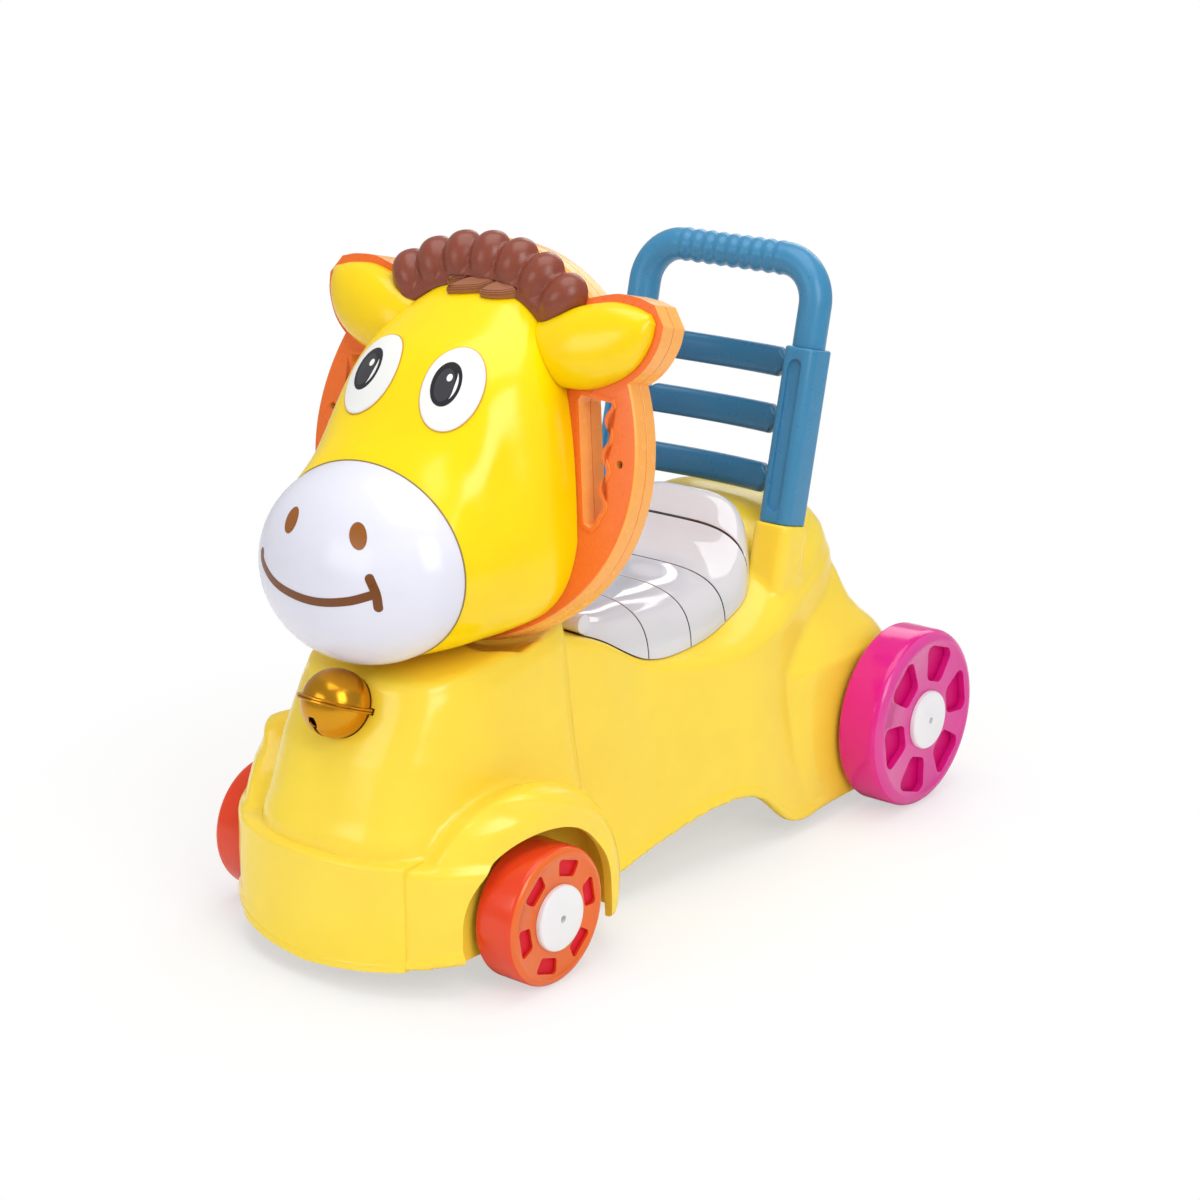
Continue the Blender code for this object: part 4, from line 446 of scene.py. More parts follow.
def surface(name, rings, looped=False):
    """Closed rings of points joined by quads. The two ends get a fan of triangles, or join if looped."""
    rings = np.asarray(rings, float)
    rows, columns = rings.shape[:2]
    index = np.arange(rows * columns).reshape(rows, columns)
    beside = np.roll(index, -1, axis=1)
    if looped:
        quads = np.stack([index, beside, np.roll(beside, -1, axis=0), np.roll(index, -1, axis=0)], axis=-1)
        return mesh_piece(name, rings.reshape(-1, 3), quads.reshape(-1, 4), np.empty((0, 3), int))
    quads = np.stack([index[:-1], beside[:-1], beside[1:], index[1:]], axis=-1).reshape(-1, 4)
    middles = np.array([rings[0].mean(axis=0), rings[-1].mean(axis=0)])
    first, last = rows * columns, rows * columns + 1
    low = np.column_stack([beside[0], index[0], np.full(columns, first)])
    high = np.column_stack([index[-1], beside[-1], np.full(columns, last)])
    points = np.concatenate([rings.reshape(-1, 3), middles])
    return mesh_piece(name, points, quads, np.concatenate([low, high]))


def placed(points, matrix):
    """Points of any grid, put through a matrix."""
    matrix = np.array(matrix)
    return np.asarray(points) @ matrix[:3, :3].T + matrix[:3, 3]


def level(outline, height):
    """A flat outline set at one height, or at a height for each of its points."""
    return np.column_stack([outline, np.broadcast_to(height, len(outline))])


def prism(name, outline, low, high, matrix=Matrix()):
    """An outline carried straight from low to high."""
    return surface(name, placed([level(outline, low), level(outline, high)], matrix))


def turned(name, profile, matrix=Matrix(), steps=96, looped=False):
    """A profile of radius and height turned about the matrix's Z axis: (r cos t, r sin t, h)."""
    profile = np.asarray(profile, float)
    angle = np.arange(steps) * 2 * math.pi / steps
    rings = np.stack([
        np.outer(profile[:, 0], np.cos(angle)),
        np.outer(profile[:, 0], np.sin(angle)),
        np.repeat(profile[:, 1:2], steps, axis=1),
    ], axis=-1)
    return surface(name, placed(rings, matrix), looped)


def swept(name, path, radius, sides=16, closed=False):
    """A round section carried along a path: path + radius (n cos t + b sin t).

    n and b are square to the path's run and to each other.
    """
    path = np.asarray(path, float)
    run = np.roll(path, -1, axis=0) - np.roll(path, 1, axis=0) if closed else np.gradient(path, axis=0)
    run /= np.linalg.norm(run, axis=1)[:, None]
    spare = np.where(np.abs(run[:, :1]) < 0.8, [[1.0, 0.0, 0.0]], [[0.0, 1.0, 0.0]])
    normal = np.cross(run, spare)
    normal /= np.linalg.norm(normal, axis=1)[:, None]
    other = np.cross(run, normal)
    angle = np.arange(sides) * 2 * math.pi / sides
    width = np.broadcast_to(radius, len(path))[:, None, None]
    ring = normal[:, None] * np.cos(angle)[None, :, None] + other[:, None] * np.sin(angle)[None, :, None]
    return surface(name, path[:, None] + width * ring, closed)


def settled(piece):
    """Turns what the piece's modifiers make into its own mesh."""
    graph = bpy.context.evaluated_depsgraph_get()
    mesh = bpy.data.meshes.new_from_object(piece.evaluated_get(graph))
    old = piece.data
    piece.modifiers.clear()
    piece.data = mesh
    bpy.data.meshes.remove(old)
    return piece


def combined(piece, others, operation):
    """Joins, cuts or clips a piece with others, which are then removed."""
    for other in others:
        step = piece.modifiers.new(other.name, "BOOLEAN")
        step.operation = operation
        step.solver = "MANIFOLD"
        step.object = other
    settled(piece)
    for other in others:
        bpy.data.objects.remove(other, do_unlink=True)
    return piece


def skinned(piece, voxel, smoothing):
    """One even skin over joined forms, smoothed so that the corners between them become small fillets."""
    step = piece.modifiers.new("skin", "REMESH")
    step.mode = "VOXEL"
    step.voxel_size = voxel
    settled(piece)
    ease = piece.modifiers.new("ease", "SMOOTH")
    ease.factor = 0.5
    ease.iterations = smoothing
    return settled(piece)


def finished(piece, body, materials, replaces=(), crease=40):
    """Gives a piece its materials, shading, carrying body and the solids that it stands for."""
    piece.data.materials.clear()
    for made in materials:
        piece.data.materials.append(made)
    piece.data.shade_smooth()
    piece.data.set_sharp_from_angle(angle=math.radians(crease))
    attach(piece, body)
    if replaces:
        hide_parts(*replaces)
    return piece


# Frames and outlines


def along_x(y, z):
    """A frame at y and z whose Z axis runs along X, and whose Y axis points up."""
    return Matrix(((0, 0, 1, 0), (1, 0, 0, y), (0, 1, 0, z), (0, 0, 0, 1)))


def leaning(centre, angle):
    """A frame in the middle plane whose Y axis runs up a plane that leans back by an angle."""
    s, c = math.sin(angle), math.cos(angle)
    return Matrix(((1, 0, 0, 0), (0, s, -c, centre[0]), (0, c, s, centre[1]), (0, 0, 0, 1)))


def handle_frame(side=0):
    """Z runs up the leaning handle from the foot of the sleeves, and Y points back."""
    s, c = math.sin(HANDLE_LEAN), math.cos(HANDLE_LEAN)
    foot_y, foot_z = HANDLE_FOOT
    return Matrix(((1, 0, 0, side * HANDLE_LEG_X), (0, c, s, foot_y), (0, -s, c, foot_z), (0, 0, 0, 1)))


def bell_frame():
    """Z runs up through the leaning bell, whose middle is the origin."""
    s, c = math.sin(BELL_LEAN), math.cos(BELL_LEAN)
    return Matrix(((1, 0, 0, 0), (0, c, s, BELL_CENTRE[0]), (0, -s, c, BELL_CENTRE[1]), (0, 0, 0, 1)))


def facing_frame(place, facing):
    """Z points along facing, and Y as far up as it can."""
    z = Vector(facing).normalized()
    x = Vector((0, 0, 1)).cross(z).normalized()
    turn = Matrix((x, z.cross(x), z)).transposed().to_4x4()
    return Matrix.Translation(place) @ turn


def smooth_rows(rows, samples):
    """Rows joined by cubic curves whose slope at each row is that of its neighbours."""
    rows = np.asarray(rows, float)
    slopes = np.gradient(rows, axis=0)
    t = np.arange(samples)[:, None] / samples
    start, lead = 2 * t**3 - 3 * t**2 + 1, t**3 - 2 * t**2 + t
    end, trail = -2 * t**3 + 3 * t**2, t**3 - t**2
    spans = [
        start * rows[row] + lead * slopes[row] + end * rows[row + 1] + trail * slopes[row + 1]
        for row in range(len(rows) - 1)
    ]
    return np.concatenate([*spans, rows[-1:]])


def offset_outline(outline, distance):
    """Each point moved outwards by the distance, square to the line through its two neighbours."""
    run = np.roll(outline, -1, axis=0) - np.roll(outline, 1, axis=0)
    run /= np.maximum(np.linalg.norm(run, axis=1), 1e-9)[:, None]
    area = np.sum(outline[:, 0] * np.roll(outline[:, 1], -1) - outline[:, 1] * np.roll(outline[:, 0], -1))
    return outline + distance * math.copysign(1, area) * np.column_stack([run[:, 1], -run[:, 0]])


def signed_power(values, power):
    """sign(v) |v| ** power."""
    return np.sign(values) * np.abs(values) ** power


def power_outline(half_width, front, back, centre, power, steps=160):
    """|x / width| ** power + |y / depth| ** power = 1, with its own depth in front and behind."""
    angle = np.arange(steps) * 2 * math.pi / steps
    across, along = signed_power(np.cos(angle), 2 / power), signed_power(np.sin(angle), 2 / power)
    depth = np.where(along < 0, centre - front, back - centre)
    return np.column_stack([half_width * across, centre + depth * along])


def rounded_box(half_x, half_y, corner, centre=(0.0, 0.0), arc=8):
    """A box with round corners: each corner's centre plus corner (cos t, sin t)."""
    quarter = np.repeat(np.arange(4), arc + 1)
    angle = math.pi / 2 * (quarter + np.tile(np.arange(arc + 1) / arc, 4))
    side_x = np.array([1, -1, -1, 1])[quarter]
    side_y = np.array([1, 1, -1, -1])[quarter]
    x = centre[0] + side_x * (half_x - corner) + corner * np.cos(angle)
    y = centre[1] + side_y * (half_y - corner) + corner * np.sin(angle)
    return np.column_stack([x, y])


def ball(name, radius, centre, steps=64):
    """A half circle of radius and height (r sin t, -r cos t) turned about Z."""
    angle = np.linspace(0.02, math.pi - 0.02, steps // 2)
    profile = np.column_stack([radius * np.sin(angle), -radius * np.cos(angle)])
    return turned(name, profile, Matrix.Translation(centre), steps)


def rod(name, radius, low, high, matrix=Matrix(), steps=48):
    """A circle carried along the matrix's Z axis from low to high."""
    return turned(name, ((radius, low), (radius, high)), matrix, steps)


def block(name, low, high, matrix=Matrix()):
    """A box between two opposite corners."""
    outline = np.array(((low[0], low[1]), (high[0], low[1]), (high[0], high[1]), (low[0], high[1])))
    return prism(name, outline, low[2], high[2], matrix)


# Body


def slope_lift(y, share):
    """How much the neck's sloping top moves a ring, for a share from 0 below to 1 at the top."""
    return (y - NECK_TOP[0]) * math.tan(NECK_TOP_SLOPE) * share


def neck_form(name, inset=0.0, steps=160):
    """Stacked plan outlines that lean into the sloping top, whose edge is a quarter round."""
    rings = []
    for height, half_width, front, power in smooth_rows(NECK_ROWS, 8):
        back = NECK_BACK_Y + NECK_BACK_DEPTH
        outline = power_outline(half_width - inset, front + inset, back, NECK_BACK_Y, power, steps)
        share = np.clip((height - NECK_SLOPE_START) / (NECK_TOP[1] - NECK_SLOPE_START), 0, 1)
        rings.append(level(outline, height - inset + slope_lift(outline[:, 1], share) - NECK_EDGE * share))
    if inset:
        hollow = surface(name, [level(rings[0][:, :2], BELOW_FLOOR), *rings])
        above = block("above", (-0.2, -0.4, NECK_CEILING), (0.2, 0.1, 0.4))
        return combined(hollow, [above], "DIFFERENCE")
    top = rings[-1][:, :2]
    for angle in np.linspace(0.2, math.pi / 2, 7):
        edge = offset_outline(top, -NECK_EDGE * (1 - math.cos(angle)))
        height = NECK_TOP[1] + slope_lift(edge[:, 1], 1.0) - NECK_EDGE * (1 - math.sin(angle))
        rings.append(level(edge, height))
    return surface(name, rings)


def envelope_outline(inset=0.0):
    """The front half of the envelope's oval, then straight sides back to the seat body."""
    centre, half_width, depth, power = ENVELOPE
    reach = half_width - min(inset, WALL)
    outline = power_outline(reach, centre - depth + inset, centre + depth, centre, power)
    front = outline[outline[:, 1] <= centre + 1e-9]
    front = front[np.argsort(front[:, 0])]
    back_y = FRONT_AXLE[0] + GUARD_REACH
    return np.vstack([front, [(front[-1, 0], back_y), (front[0, 0], back_y)]])


def on_foot(outline, height=0.0):
    """An outline set on the bumper's foot, which rises to both sides."""
    reach, rise = smooth_rows(FOOT_RISE, 6).T
    return level(outline, BUMPER_FOOT + height + np.interp(np.abs(outline[:, 0]), reach, rise))


def bumper_form(name, inset=0.0):
    """The envelope's front half, from its lip up to a rounded top edge."""
    outline = envelope_outline(inset)[:-2]
    if inset:
        outline[:, 0] = np.clip(outline[:, 0], -CAVITY_HALF_WIDTH, CAVITY_HALF_WIDTH)
        return surface(name, [level(outline, BELOW_FLOOR), level(outline, BUMPER_TOP - inset)])
    lip = offset_outline(outline, LIP)
    rings = [on_foot(lip), on_foot(lip, LIP_HEIGHT), on_foot(outline, LIP_HEIGHT + 0.0015)]
    for angle in np.linspace(0, math.pi / 2, 6):
        edge = offset_outline(outline, -BUMPER_EDGE * (1 - math.cos(angle)))
        rings.append(level(edge, BUMPER_TOP - BUMPER_EDGE * (1 - math.sin(angle))))
    return surface(name, rings)


def band_form(name):
    """The raised middle of the bumper, with a lip at its foot and a quarter round at its top and ends."""
    outline = envelope_outline()[:-2]
    outline = outline[np.abs(outline[:, 0]) < BAND_HALF_WIDTH]
    ease = np.sqrt(np.clip((BAND_HALF_WIDTH - np.abs(outline[:, 0])) / BAND_EASE, 0, 1))[:, None]

    def row(proud):
        raised = outline - np.array([0.0, 1.0]) * (proud * ease)
        return np.vstack([raised, raised[[-1, 0]] + np.array([0.0, BAND_DEPTH])])

    rings = [on_foot(row(LIP + 0.001)), on_foot(row(LIP + 0.001), LIP_HEIGHT - 0.0006)]
    rings += [on_foot(row(LIP + 0.0004), LIP_HEIGHT), on_foot(row(BAND_PROUD), LIP_HEIGHT + 0.0004)]
    for angle in np.linspace(0, math.pi / 2, 6):
        height = BUMPER_TOP + BAND_RISE - BAND_EDGE * (1 - math.sin(angle))
        rings.append(level(row(BAND_PROUD - BAND_EDGE * (1 - math.cos(angle))), height))
    return surface(name, rings)


def guard_clip(name, margin=0.0):
    """The space within the plan envelope, which draws in with height. With a margin it is open downwards."""
    taper = smooth_rows(GUARD_TAPER, 4)
    rings = [level(envelope_outline(inset + margin), height) for height, inset in taper]
    rings[0] = on_foot(envelope_outline(margin))
    if margin:
        rings[0][:, 2] = FAR_BELOW
    return surface(name, rings)


def guard_form(name):
    """Both mudguards as one barrel about the front axle, whose radius falls off to the outer faces."""
    half = smooth_rows(GUARD_PROFILE, 5)[:, ::-1]
    profile = np.vstack([half * np.array([1.0, -1.0]), half[::-1]])
    barrel = turned(name, profile, along_x(*FRONT_AXLE[:2]), 120)
    return combined(barrel, [guard_clip("guard_clip")], "INTERSECT")


def well_form(name, side):
    """The space round a front wheel, one wall inside its mudguard."""
    places = np.linspace(*sorted((side * WELL_INNER_X, side * (ENVELOPE[1] - WELL_LIP))), 8)
    reach, radii = np.array(GUARD_PROFILE[::-1]).T
    profile = np.column_stack([np.interp(np.abs(places), reach, radii) - WALL, places])
    drum = turned(name, profile, along_x(*FRONT_AXLE[:2]), 72)
    return combined(drum, [guard_clip("well_clip", WALL)], "INTERSECT")


def well_opening(name, side):
    """The wheel opening: an arch that runs straight down below the axle."""
    arc = np.linspace(0, math.pi, 49)
    y = FRONT_AXLE[0] + 0.003 + WELL_OPENING_RADIUS * np.cos(arc)
    z = FRONT_AXLE[1] + WELL_OPENING_RADIUS * np.sin(arc)
    outline = np.vstack([np.column_stack([y, z]), [(y[-1], FAR_BELOW), (y[0] + 0.006, FAR_BELOW)]])
    low, high = sorted((side * (WELL_INNER_X + 0.0005), side * 0.2))
    return prism(name, outline, low, high, along_x(0.0, 0.0))


def seat_table(samples):
    """The seat's rows joined smoothly, with no width below zero."""
    half = smooth_rows(SEAT_ROWS, samples)
    half[:, 1:3] = np.maximum(half[:, 1:3], 0.0)
    return half


def deck_height(x, y):
    """rim + hump (1 - |x / half width| ** 5), with rim, hump and half width read along Y."""
    table = seat_table(12)
    half_width, rim, hump = (np.interp(y, table[:, 0], table[:, column]) for column in (1, 3, 5))
    share = np.clip(np.abs(x) / np.maximum(half_width, 0.001), 0, 1)
    return rim + hump * (1 - share**DECK_POWER)


def seat_form(name, inset=0.0, lift=0.0, floor=None, samples=10):
    """A wall from foot to rim all round, closed by the deck."""
    half = seat_table(samples)
    other = half[-2::-1] * np.array([1.0, -1.0, -1.0, 1.0, 1.0, 1.0])
    y, rim_x, foot_x, rim_z, foot_z, hump = np.vstack([half, other]).T
    rim = offset_outline(np.column_stack([rim_x, y]), -inset)
    foot = offset_outline(np.column_stack([foot_x, y]), -inset)
    top = rim_z - inset + lift
    bottom = foot_z if floor is None else np.full(len(y), floor)
    rings = []
    if floor is None:
        lip = offset_outline(foot, LIP)
        inner = np.column_stack([lip[:, 0] * 0.02, lip[:, 1]])
        rings += [level(inner, bottom), level(lip, bottom), level(lip, bottom + LIP_HEIGHT)]
        bottom = bottom + LIP_HEIGHT + 0.0025
    for share in np.linspace(0, 1, 8):
        rings.append(level(foot + (rim - foot) * share, bottom + (top - DECK_EDGE - bottom) * share))
    for angle in np.linspace(0.3, math.pi / 2 - 0.2, 4):
        edge = offset_outline(rim, -0.003 * (1 - math.cos(angle)))
        rings.append(level(edge, top - DECK_EDGE * (1 - math.sin(angle))))
    for scale in DECK_SCALES:
        shrunk = rim * scale + np.array([0.0, SEAT_CENTRE_Y * (1 - scale)])
        rings.append(level(shrunk, deck_height(*shrunk.T) - inset + lift))
    return surface(name, rings)


def skirt_form(name, inset=0.0):
    """Stacked box-like plan outlines that draw in towards the deck."""
    rings = []
    for height, half_width, front, back in smooth_rows(SKIRT_ROWS, 5):
        middle = (front + back) / 2
        outline = power_outline(half_width - inset, front + inset, back - inset, middle, SKIRT_POWER, 120)
        rings.append(level(outline, height - inset))
    if inset:
        rings.insert(0, level(rings[0][:, :2], BELOW_FLOOR))
    return surface(name, rings)


def bin_box(name, margin, low, high):
    """The storage bin's plan, grown by the margin and carried from low to high."""
    half_y = (BIN_Y[1] - BIN_Y[0]) / 2 + margin
    outline = rounded_box(BIN_HALF_WIDTH + margin, half_y, BIN_CORNER + margin, (0.0, sum(BIN_Y) / 2))
    return prism(name, outline, low, high)


def post_form(name, side, margin=0.0, low=-0.060, high=-SKIN_GAP):
    """The box that a handle leg stands on, with round corners."""
    outline = rounded_box(POST_SIZE[0] / 2 + margin, POST_SIZE[1] / 2 + margin, SLEEVE_CORNER + margin)
    return prism(name, outline, low, high, handle_frame(side))


def disc_rim(elevation):
    """Radius at an angle above the disc's middle in degrees: a bell curve swells its lower sides."""
    middle, spread = DISC_SWELL_PLACE
    return DISC_RADIUS + DISC_SWELL * np.exp(-(((elevation - middle) / spread) ** 2))


def dish_form(name, drop):
    """The space that the disc's lower edge swings through about the swivel, grown downwards by the drop."""
    low_y = DISC_CENTRE[0] - DISC_RADIUS * math.sin(DISC_TILT) + DISC_THICKNESS * math.cos(DISC_TILT)
    centre_z = DISC_CENTRE[1] - DISC_THICKNESS * math.sin(DISC_TILT)
    reach = np.linspace(*DISH_REACH, 24)
    across = np.sqrt(np.maximum(reach**2 - (low_y - SWIVEL_Y) ** 2, 0))
    rim = disc_rim(-np.degrees(np.arccos(np.clip(across / DISC_RADIUS, 0, 1))))
    fall = np.sqrt(rim**2 - across**2) * math.cos(DISC_TILT)
    profile = np.column_stack([reach + drop, centre_z - fall - SWING_GAP - drop])
    outer = DISH_REACH[1] + drop
    profile = np.vstack([[(0.001, DISH_FLOOR - drop)], profile, [(outer, DISH_TOP), (0.001, DISH_TOP)]])
    return turned(name, profile, Matrix.Translation((0, SWIVEL_Y, 0)))


def swing_space():
    """What the turning head needs: room for its post, and the paths of the head shell and the disc."""
    axis, here = Matrix.Translation((0, SWIVEL_Y, 0)), leaning(DISC_CENTRE, DISC_TILT)
    cuts = [rod("post_space", POST_SPACE_RADIUS, DISH_FLOOR, 0.27, axis, 64)]
    outline = offset_outline(disc_outline(), SWING_GAP)
    for turn in np.linspace(-HEAD_TURN, HEAD_TURN, SWING_STEPS):
        disc = prism("disc_path", outline, -DISC_THICKNESS - SWING_GAP, SWING_GAP, here)
        for path in (disc, head_solid("head_path", SWING_GAP)):
            path.data.transform(axis @ Matrix.Rotation(turn, 4, "Z") @ axis.inverted())
            cuts.append(path)
    return cuts


class PONY_OT_body(bpy.types.Operator):
    """Makes the body: neck, bumper, mudguards, seat body, skirt and handle posts under one moulded skin."""

    bl_idname = "pony.body"
    bl_label = "Body"

    def execute(self, context):
        size_of = sizes()
        body = neck_form("body_skin")
        parts = [seat_form("seat_body"), bumper_form("bumper"), guard_form("guards"), skirt_form("skirt")]
        parts += [post_form(f"post_{word}", side) for side, word in SIDES]
        combined(body, parts, "UNION")
        combined(body, swing_space(), "DIFFERENCE")
        skinned(body, size_of.body_voxel, size_of.body_smoothing)
        combined(body, [band_form("band")], "UNION")
        combined(body, self.hollows(), "DIFFERENCE")
        combined(body, self.lugs(), "UNION")
        yellow = plastic("body yellow", colours().body, 0.20)
        finished(body, "base", [yellow], ["body_shell"], 50)
        return {"FINISHED"}

    def hollows(self):
        """Everything that is taken out of the moulded skin, inside first."""
        hollow = neck_form("neck_hollow", WALL, 60)
        inside = [
            seat_form("seat_hollow", WALL, floor=BELOW_FLOOR, samples=4),
            bumper_form("bumper_hollow", WALL),
            skirt_form("skirt_hollow", WALL),
        ]
        combined(hollow, inside, "UNION")
        keep = [
            bin_box("bin_keep", BIN_FLANGE + WALL, BIN_LEDGE_Z - WALL, 0.26),
            dish_form("dish_keep", WALL),
            ball("bell_keep", BELL_RADIUS + BELL_POCKET_WALL, (0.0, *BELL_CENTRE)),
        ]
        combined(hollow, keep, "DIFFERENCE")
        flange, axis = BELL_RADIUS + sizes().bell_flange + BELL_GAP, Matrix.Translation((0, SWIVEL_Y, 0))
        cuts = [
            hollow,
            bin_box("bin_recess", BIN_FLANGE + SKIN_GAP, BIN_LEDGE_Z, 0.30),
            bin_box("bin_opening", SKIN_GAP, FAR_BELOW, 0.30),
            ball("bell_pocket", BELL_RADIUS + BELL_GAP, (0.0, *BELL_CENTRE)),
            rod("bell_groove", flange, -0.0026, 0.0026, bell_frame(), 96),
            rod("swivel_hole", SWIVEL_HOLE_RADIUS, NECK_CEILING - 0.02, 0.25, axis),
        ]
        for side, word in SIDES:
            cuts.append(well_form(f"well_{word}", side))
            cuts.append(well_opening(f"well_opening_{word}", side))
            cuts.append(rod(f"tenon_bore_{word}", TENON_BORE_RADIUS, -0.024, 0.01, handle_frame(side)))
        for name, axle in (("front", FRONT_AXLE), ("rear", REAR_AXLE)):
            cuts.append(rod(f"{name}_axle_hole", AXLE_RADIUS, -0.2, 0.2, along_x(*axle[:2]), 24))
        return cuts

    def lugs(self):
        """The two ears that hold the lid's hinge pin."""
        made = []
        hinge_y = LID_HINGE[0]
        for side, word in SIDES:
            low, high = side * LUG_X - LUG_WIDTH / 2, side * LUG_X + LUG_WIDTH / 2
            made.append(rod(f"lug_{word}", LUG_RADIUS, low, high, along_x(*LID_HINGE)))
            stem_low, stem_high = (low, hinge_y - 0.005, 0.2125), (high, hinge_y + 0.002, 0.2295)
            made.append(block(f"stem_{word}", stem_low, stem_high))
        return made


# Seat lid


class PONY_OT_lid(bpy.types.Operator):
    """Makes the glossy seat lid with its four grooves."""

    bl_idname = "pony.lid"
    bl_label = "Seat lid"

    def execute(self, context):
        lid = self.dome("lid_skin", 0.0, sizes().lid_groove)
        hollow = self.dome("lid_hollow", WALL, 0.0)
        deck = seat_form("lid_deck", 0.0, lift=0.0011, floor=-0.02)
        combined(lid, [hollow], "DIFFERENCE")
        hinge = along_x(*LID_HINGE)
        barrel = rod("lid_barrel", LID_BARREL_RADIUS, -LID_BARREL_REACH, LID_BARREL_REACH, hinge)
        combined(lid, [barrel], "UNION")
        cuts = [deck, rod("pin_bore", PIN_BORE_RADIUS, -LUG_X - 0.012, LUG_X + 0.012, hinge, 32)]
        for side, word in SIDES:
            cuts.append(post_form(f"post_gap_{word}", side, 0.001, -0.06, 0.05))
            low = side * LUG_X - LUG_WIDTH / 2 - LUG_SIDE_GAP
            high = side * LUG_X + LUG_WIDTH / 2 + LUG_SIDE_GAP
            cuts.append(rod(f"lug_gap_{word}", LUG_SLOT_RADIUS, low, high, hinge))
            cuts.append(block(f"lug_path_{word}", (low, -0.108, 0.2015), (high, -0.085, 0.2345)))
        combined(lid, cuts, "DIFFERENCE")
        white = plastic("seat white", colours().seat, 0.06, coat=1.0)
        # Painted shade: dark lines along the lid's grooves.
        painted_groove_shade(white, LID_GROOVES_Y, GROOVE_SHADE_HALF)
        finished(lid, "lid", [white], ["seat_lid"], 30)
        return {"FINISHED"}

    def dome(self, name, inset, groove):
        """Upright sections along Y: x = w cos(t) ** (2 / p), z = low + (crown - low) sin(t) ** (2 / p)."""
        table = smooth_rows(LID_ROWS, 12)
        notch = np.array([-0.0012, -0.0005, 0.0, 0.0005, 0.0012])
        places = np.linspace(LID_ROWS[0][0] + inset, LID_ROWS[-1][0] - inset, 110)
        if groove:
            places = np.sort(np.concatenate([places, *(y + notch for y in LID_GROOVES_Y)]))
        angle = np.linspace(0, math.pi, 65)
        across = signed_power(np.cos(angle), 2 / LID_POWER)
        rise = np.abs(np.sin(angle)) ** (2 / LID_POWER)
        nearest = np.min(np.abs(places[:, None] - np.array(LID_GROOVES_Y)), axis=1)
        sunk = inset + groove * np.clip(1 - nearest / 0.0011, 0, 1)
        half_width = np.interp(places, table[:, 0], table[:, 1]) - sunk
        crown = np.interp(places, table[:, 0], table[:, 2]) - sunk
        low = deck_height(0.0, places) - 0.02
        x = half_width[:, None] * across
        z = low[:, None] + (crown - low)[:, None] * rise
        y = np.broadcast_to(places[:, None], x.shape)
        return surface(name, np.stack([x, y, z], axis=-1))


# Head


def head_rings(offset=0.0, samples=14, steps=160):
    """Sections from the disc to the muzzle seam: wide ovals, whose upper half narrows to the brow."""
    angle = np.arange(steps) * 2 * math.pi / steps
    cosine, sine = np.cos(angle), np.sin(angle)
    rings = []
    for row in smooth_rows(HEAD_ROWS, samples):
        y, z, tilt, brow, upper, lower, narrowing, upper_power, lower_power, cheek = row
        power = np.where(sine > 0, upper_power, lower_power)
        across, rise = signed_power(cosine, 2 / power), signed_power(sine, 2 / power)
        share = np.clip(rise / BROW_START, 0, 1)
        half_width = cheek + (brow - cheek) * share**2 * (3 - 2 * share)
        x = (half_width + offset) * across * (1 - narrowing * np.maximum(rise, 0))
        up = rise * (np.where(sine > 0, upper, lower) + offset)
        lean = math.radians(tilt)
        rings.append(np.column_stack([x, y + up * math.sin(lean), z + up * math.cos(lean)]))
    return np.array(rings)


def head_solid(name, offset=0.0, beyond=0.0):
    """The head's outside, grown by the offset and carried on past both of its ends."""
    rings = head_rings(offset)
    first = rings[0] + beyond * np.array([0.0, math.cos(DISC_TILT), -math.sin(DISC_TILT)])
    last = rings[-1] + beyond * np.array([0.0, -math.cos(SEAM_TILT), math.sin(SEAM_TILT)])
    return surface(name, np.concatenate([[first], rings, [last]]) if beyond else rings)


class PONY_OT_head(bpy.types.Operator):
    """Makes the head shell between the disc and the muzzle."""

    bl_idname = "pony.head"
    bl_label = "Head"

    def execute(self, context):
        outside, inside = head_rings(), head_rings(-WALL)
        head = surface("head_skin", np.concatenate([outside, inside[::-1]]), looped=True)
        yellow = plastic("head yellow", colours().head, 0.2)
        finished(head, "head", [yellow], ["head_shell"])
        return {"FINISHED"}


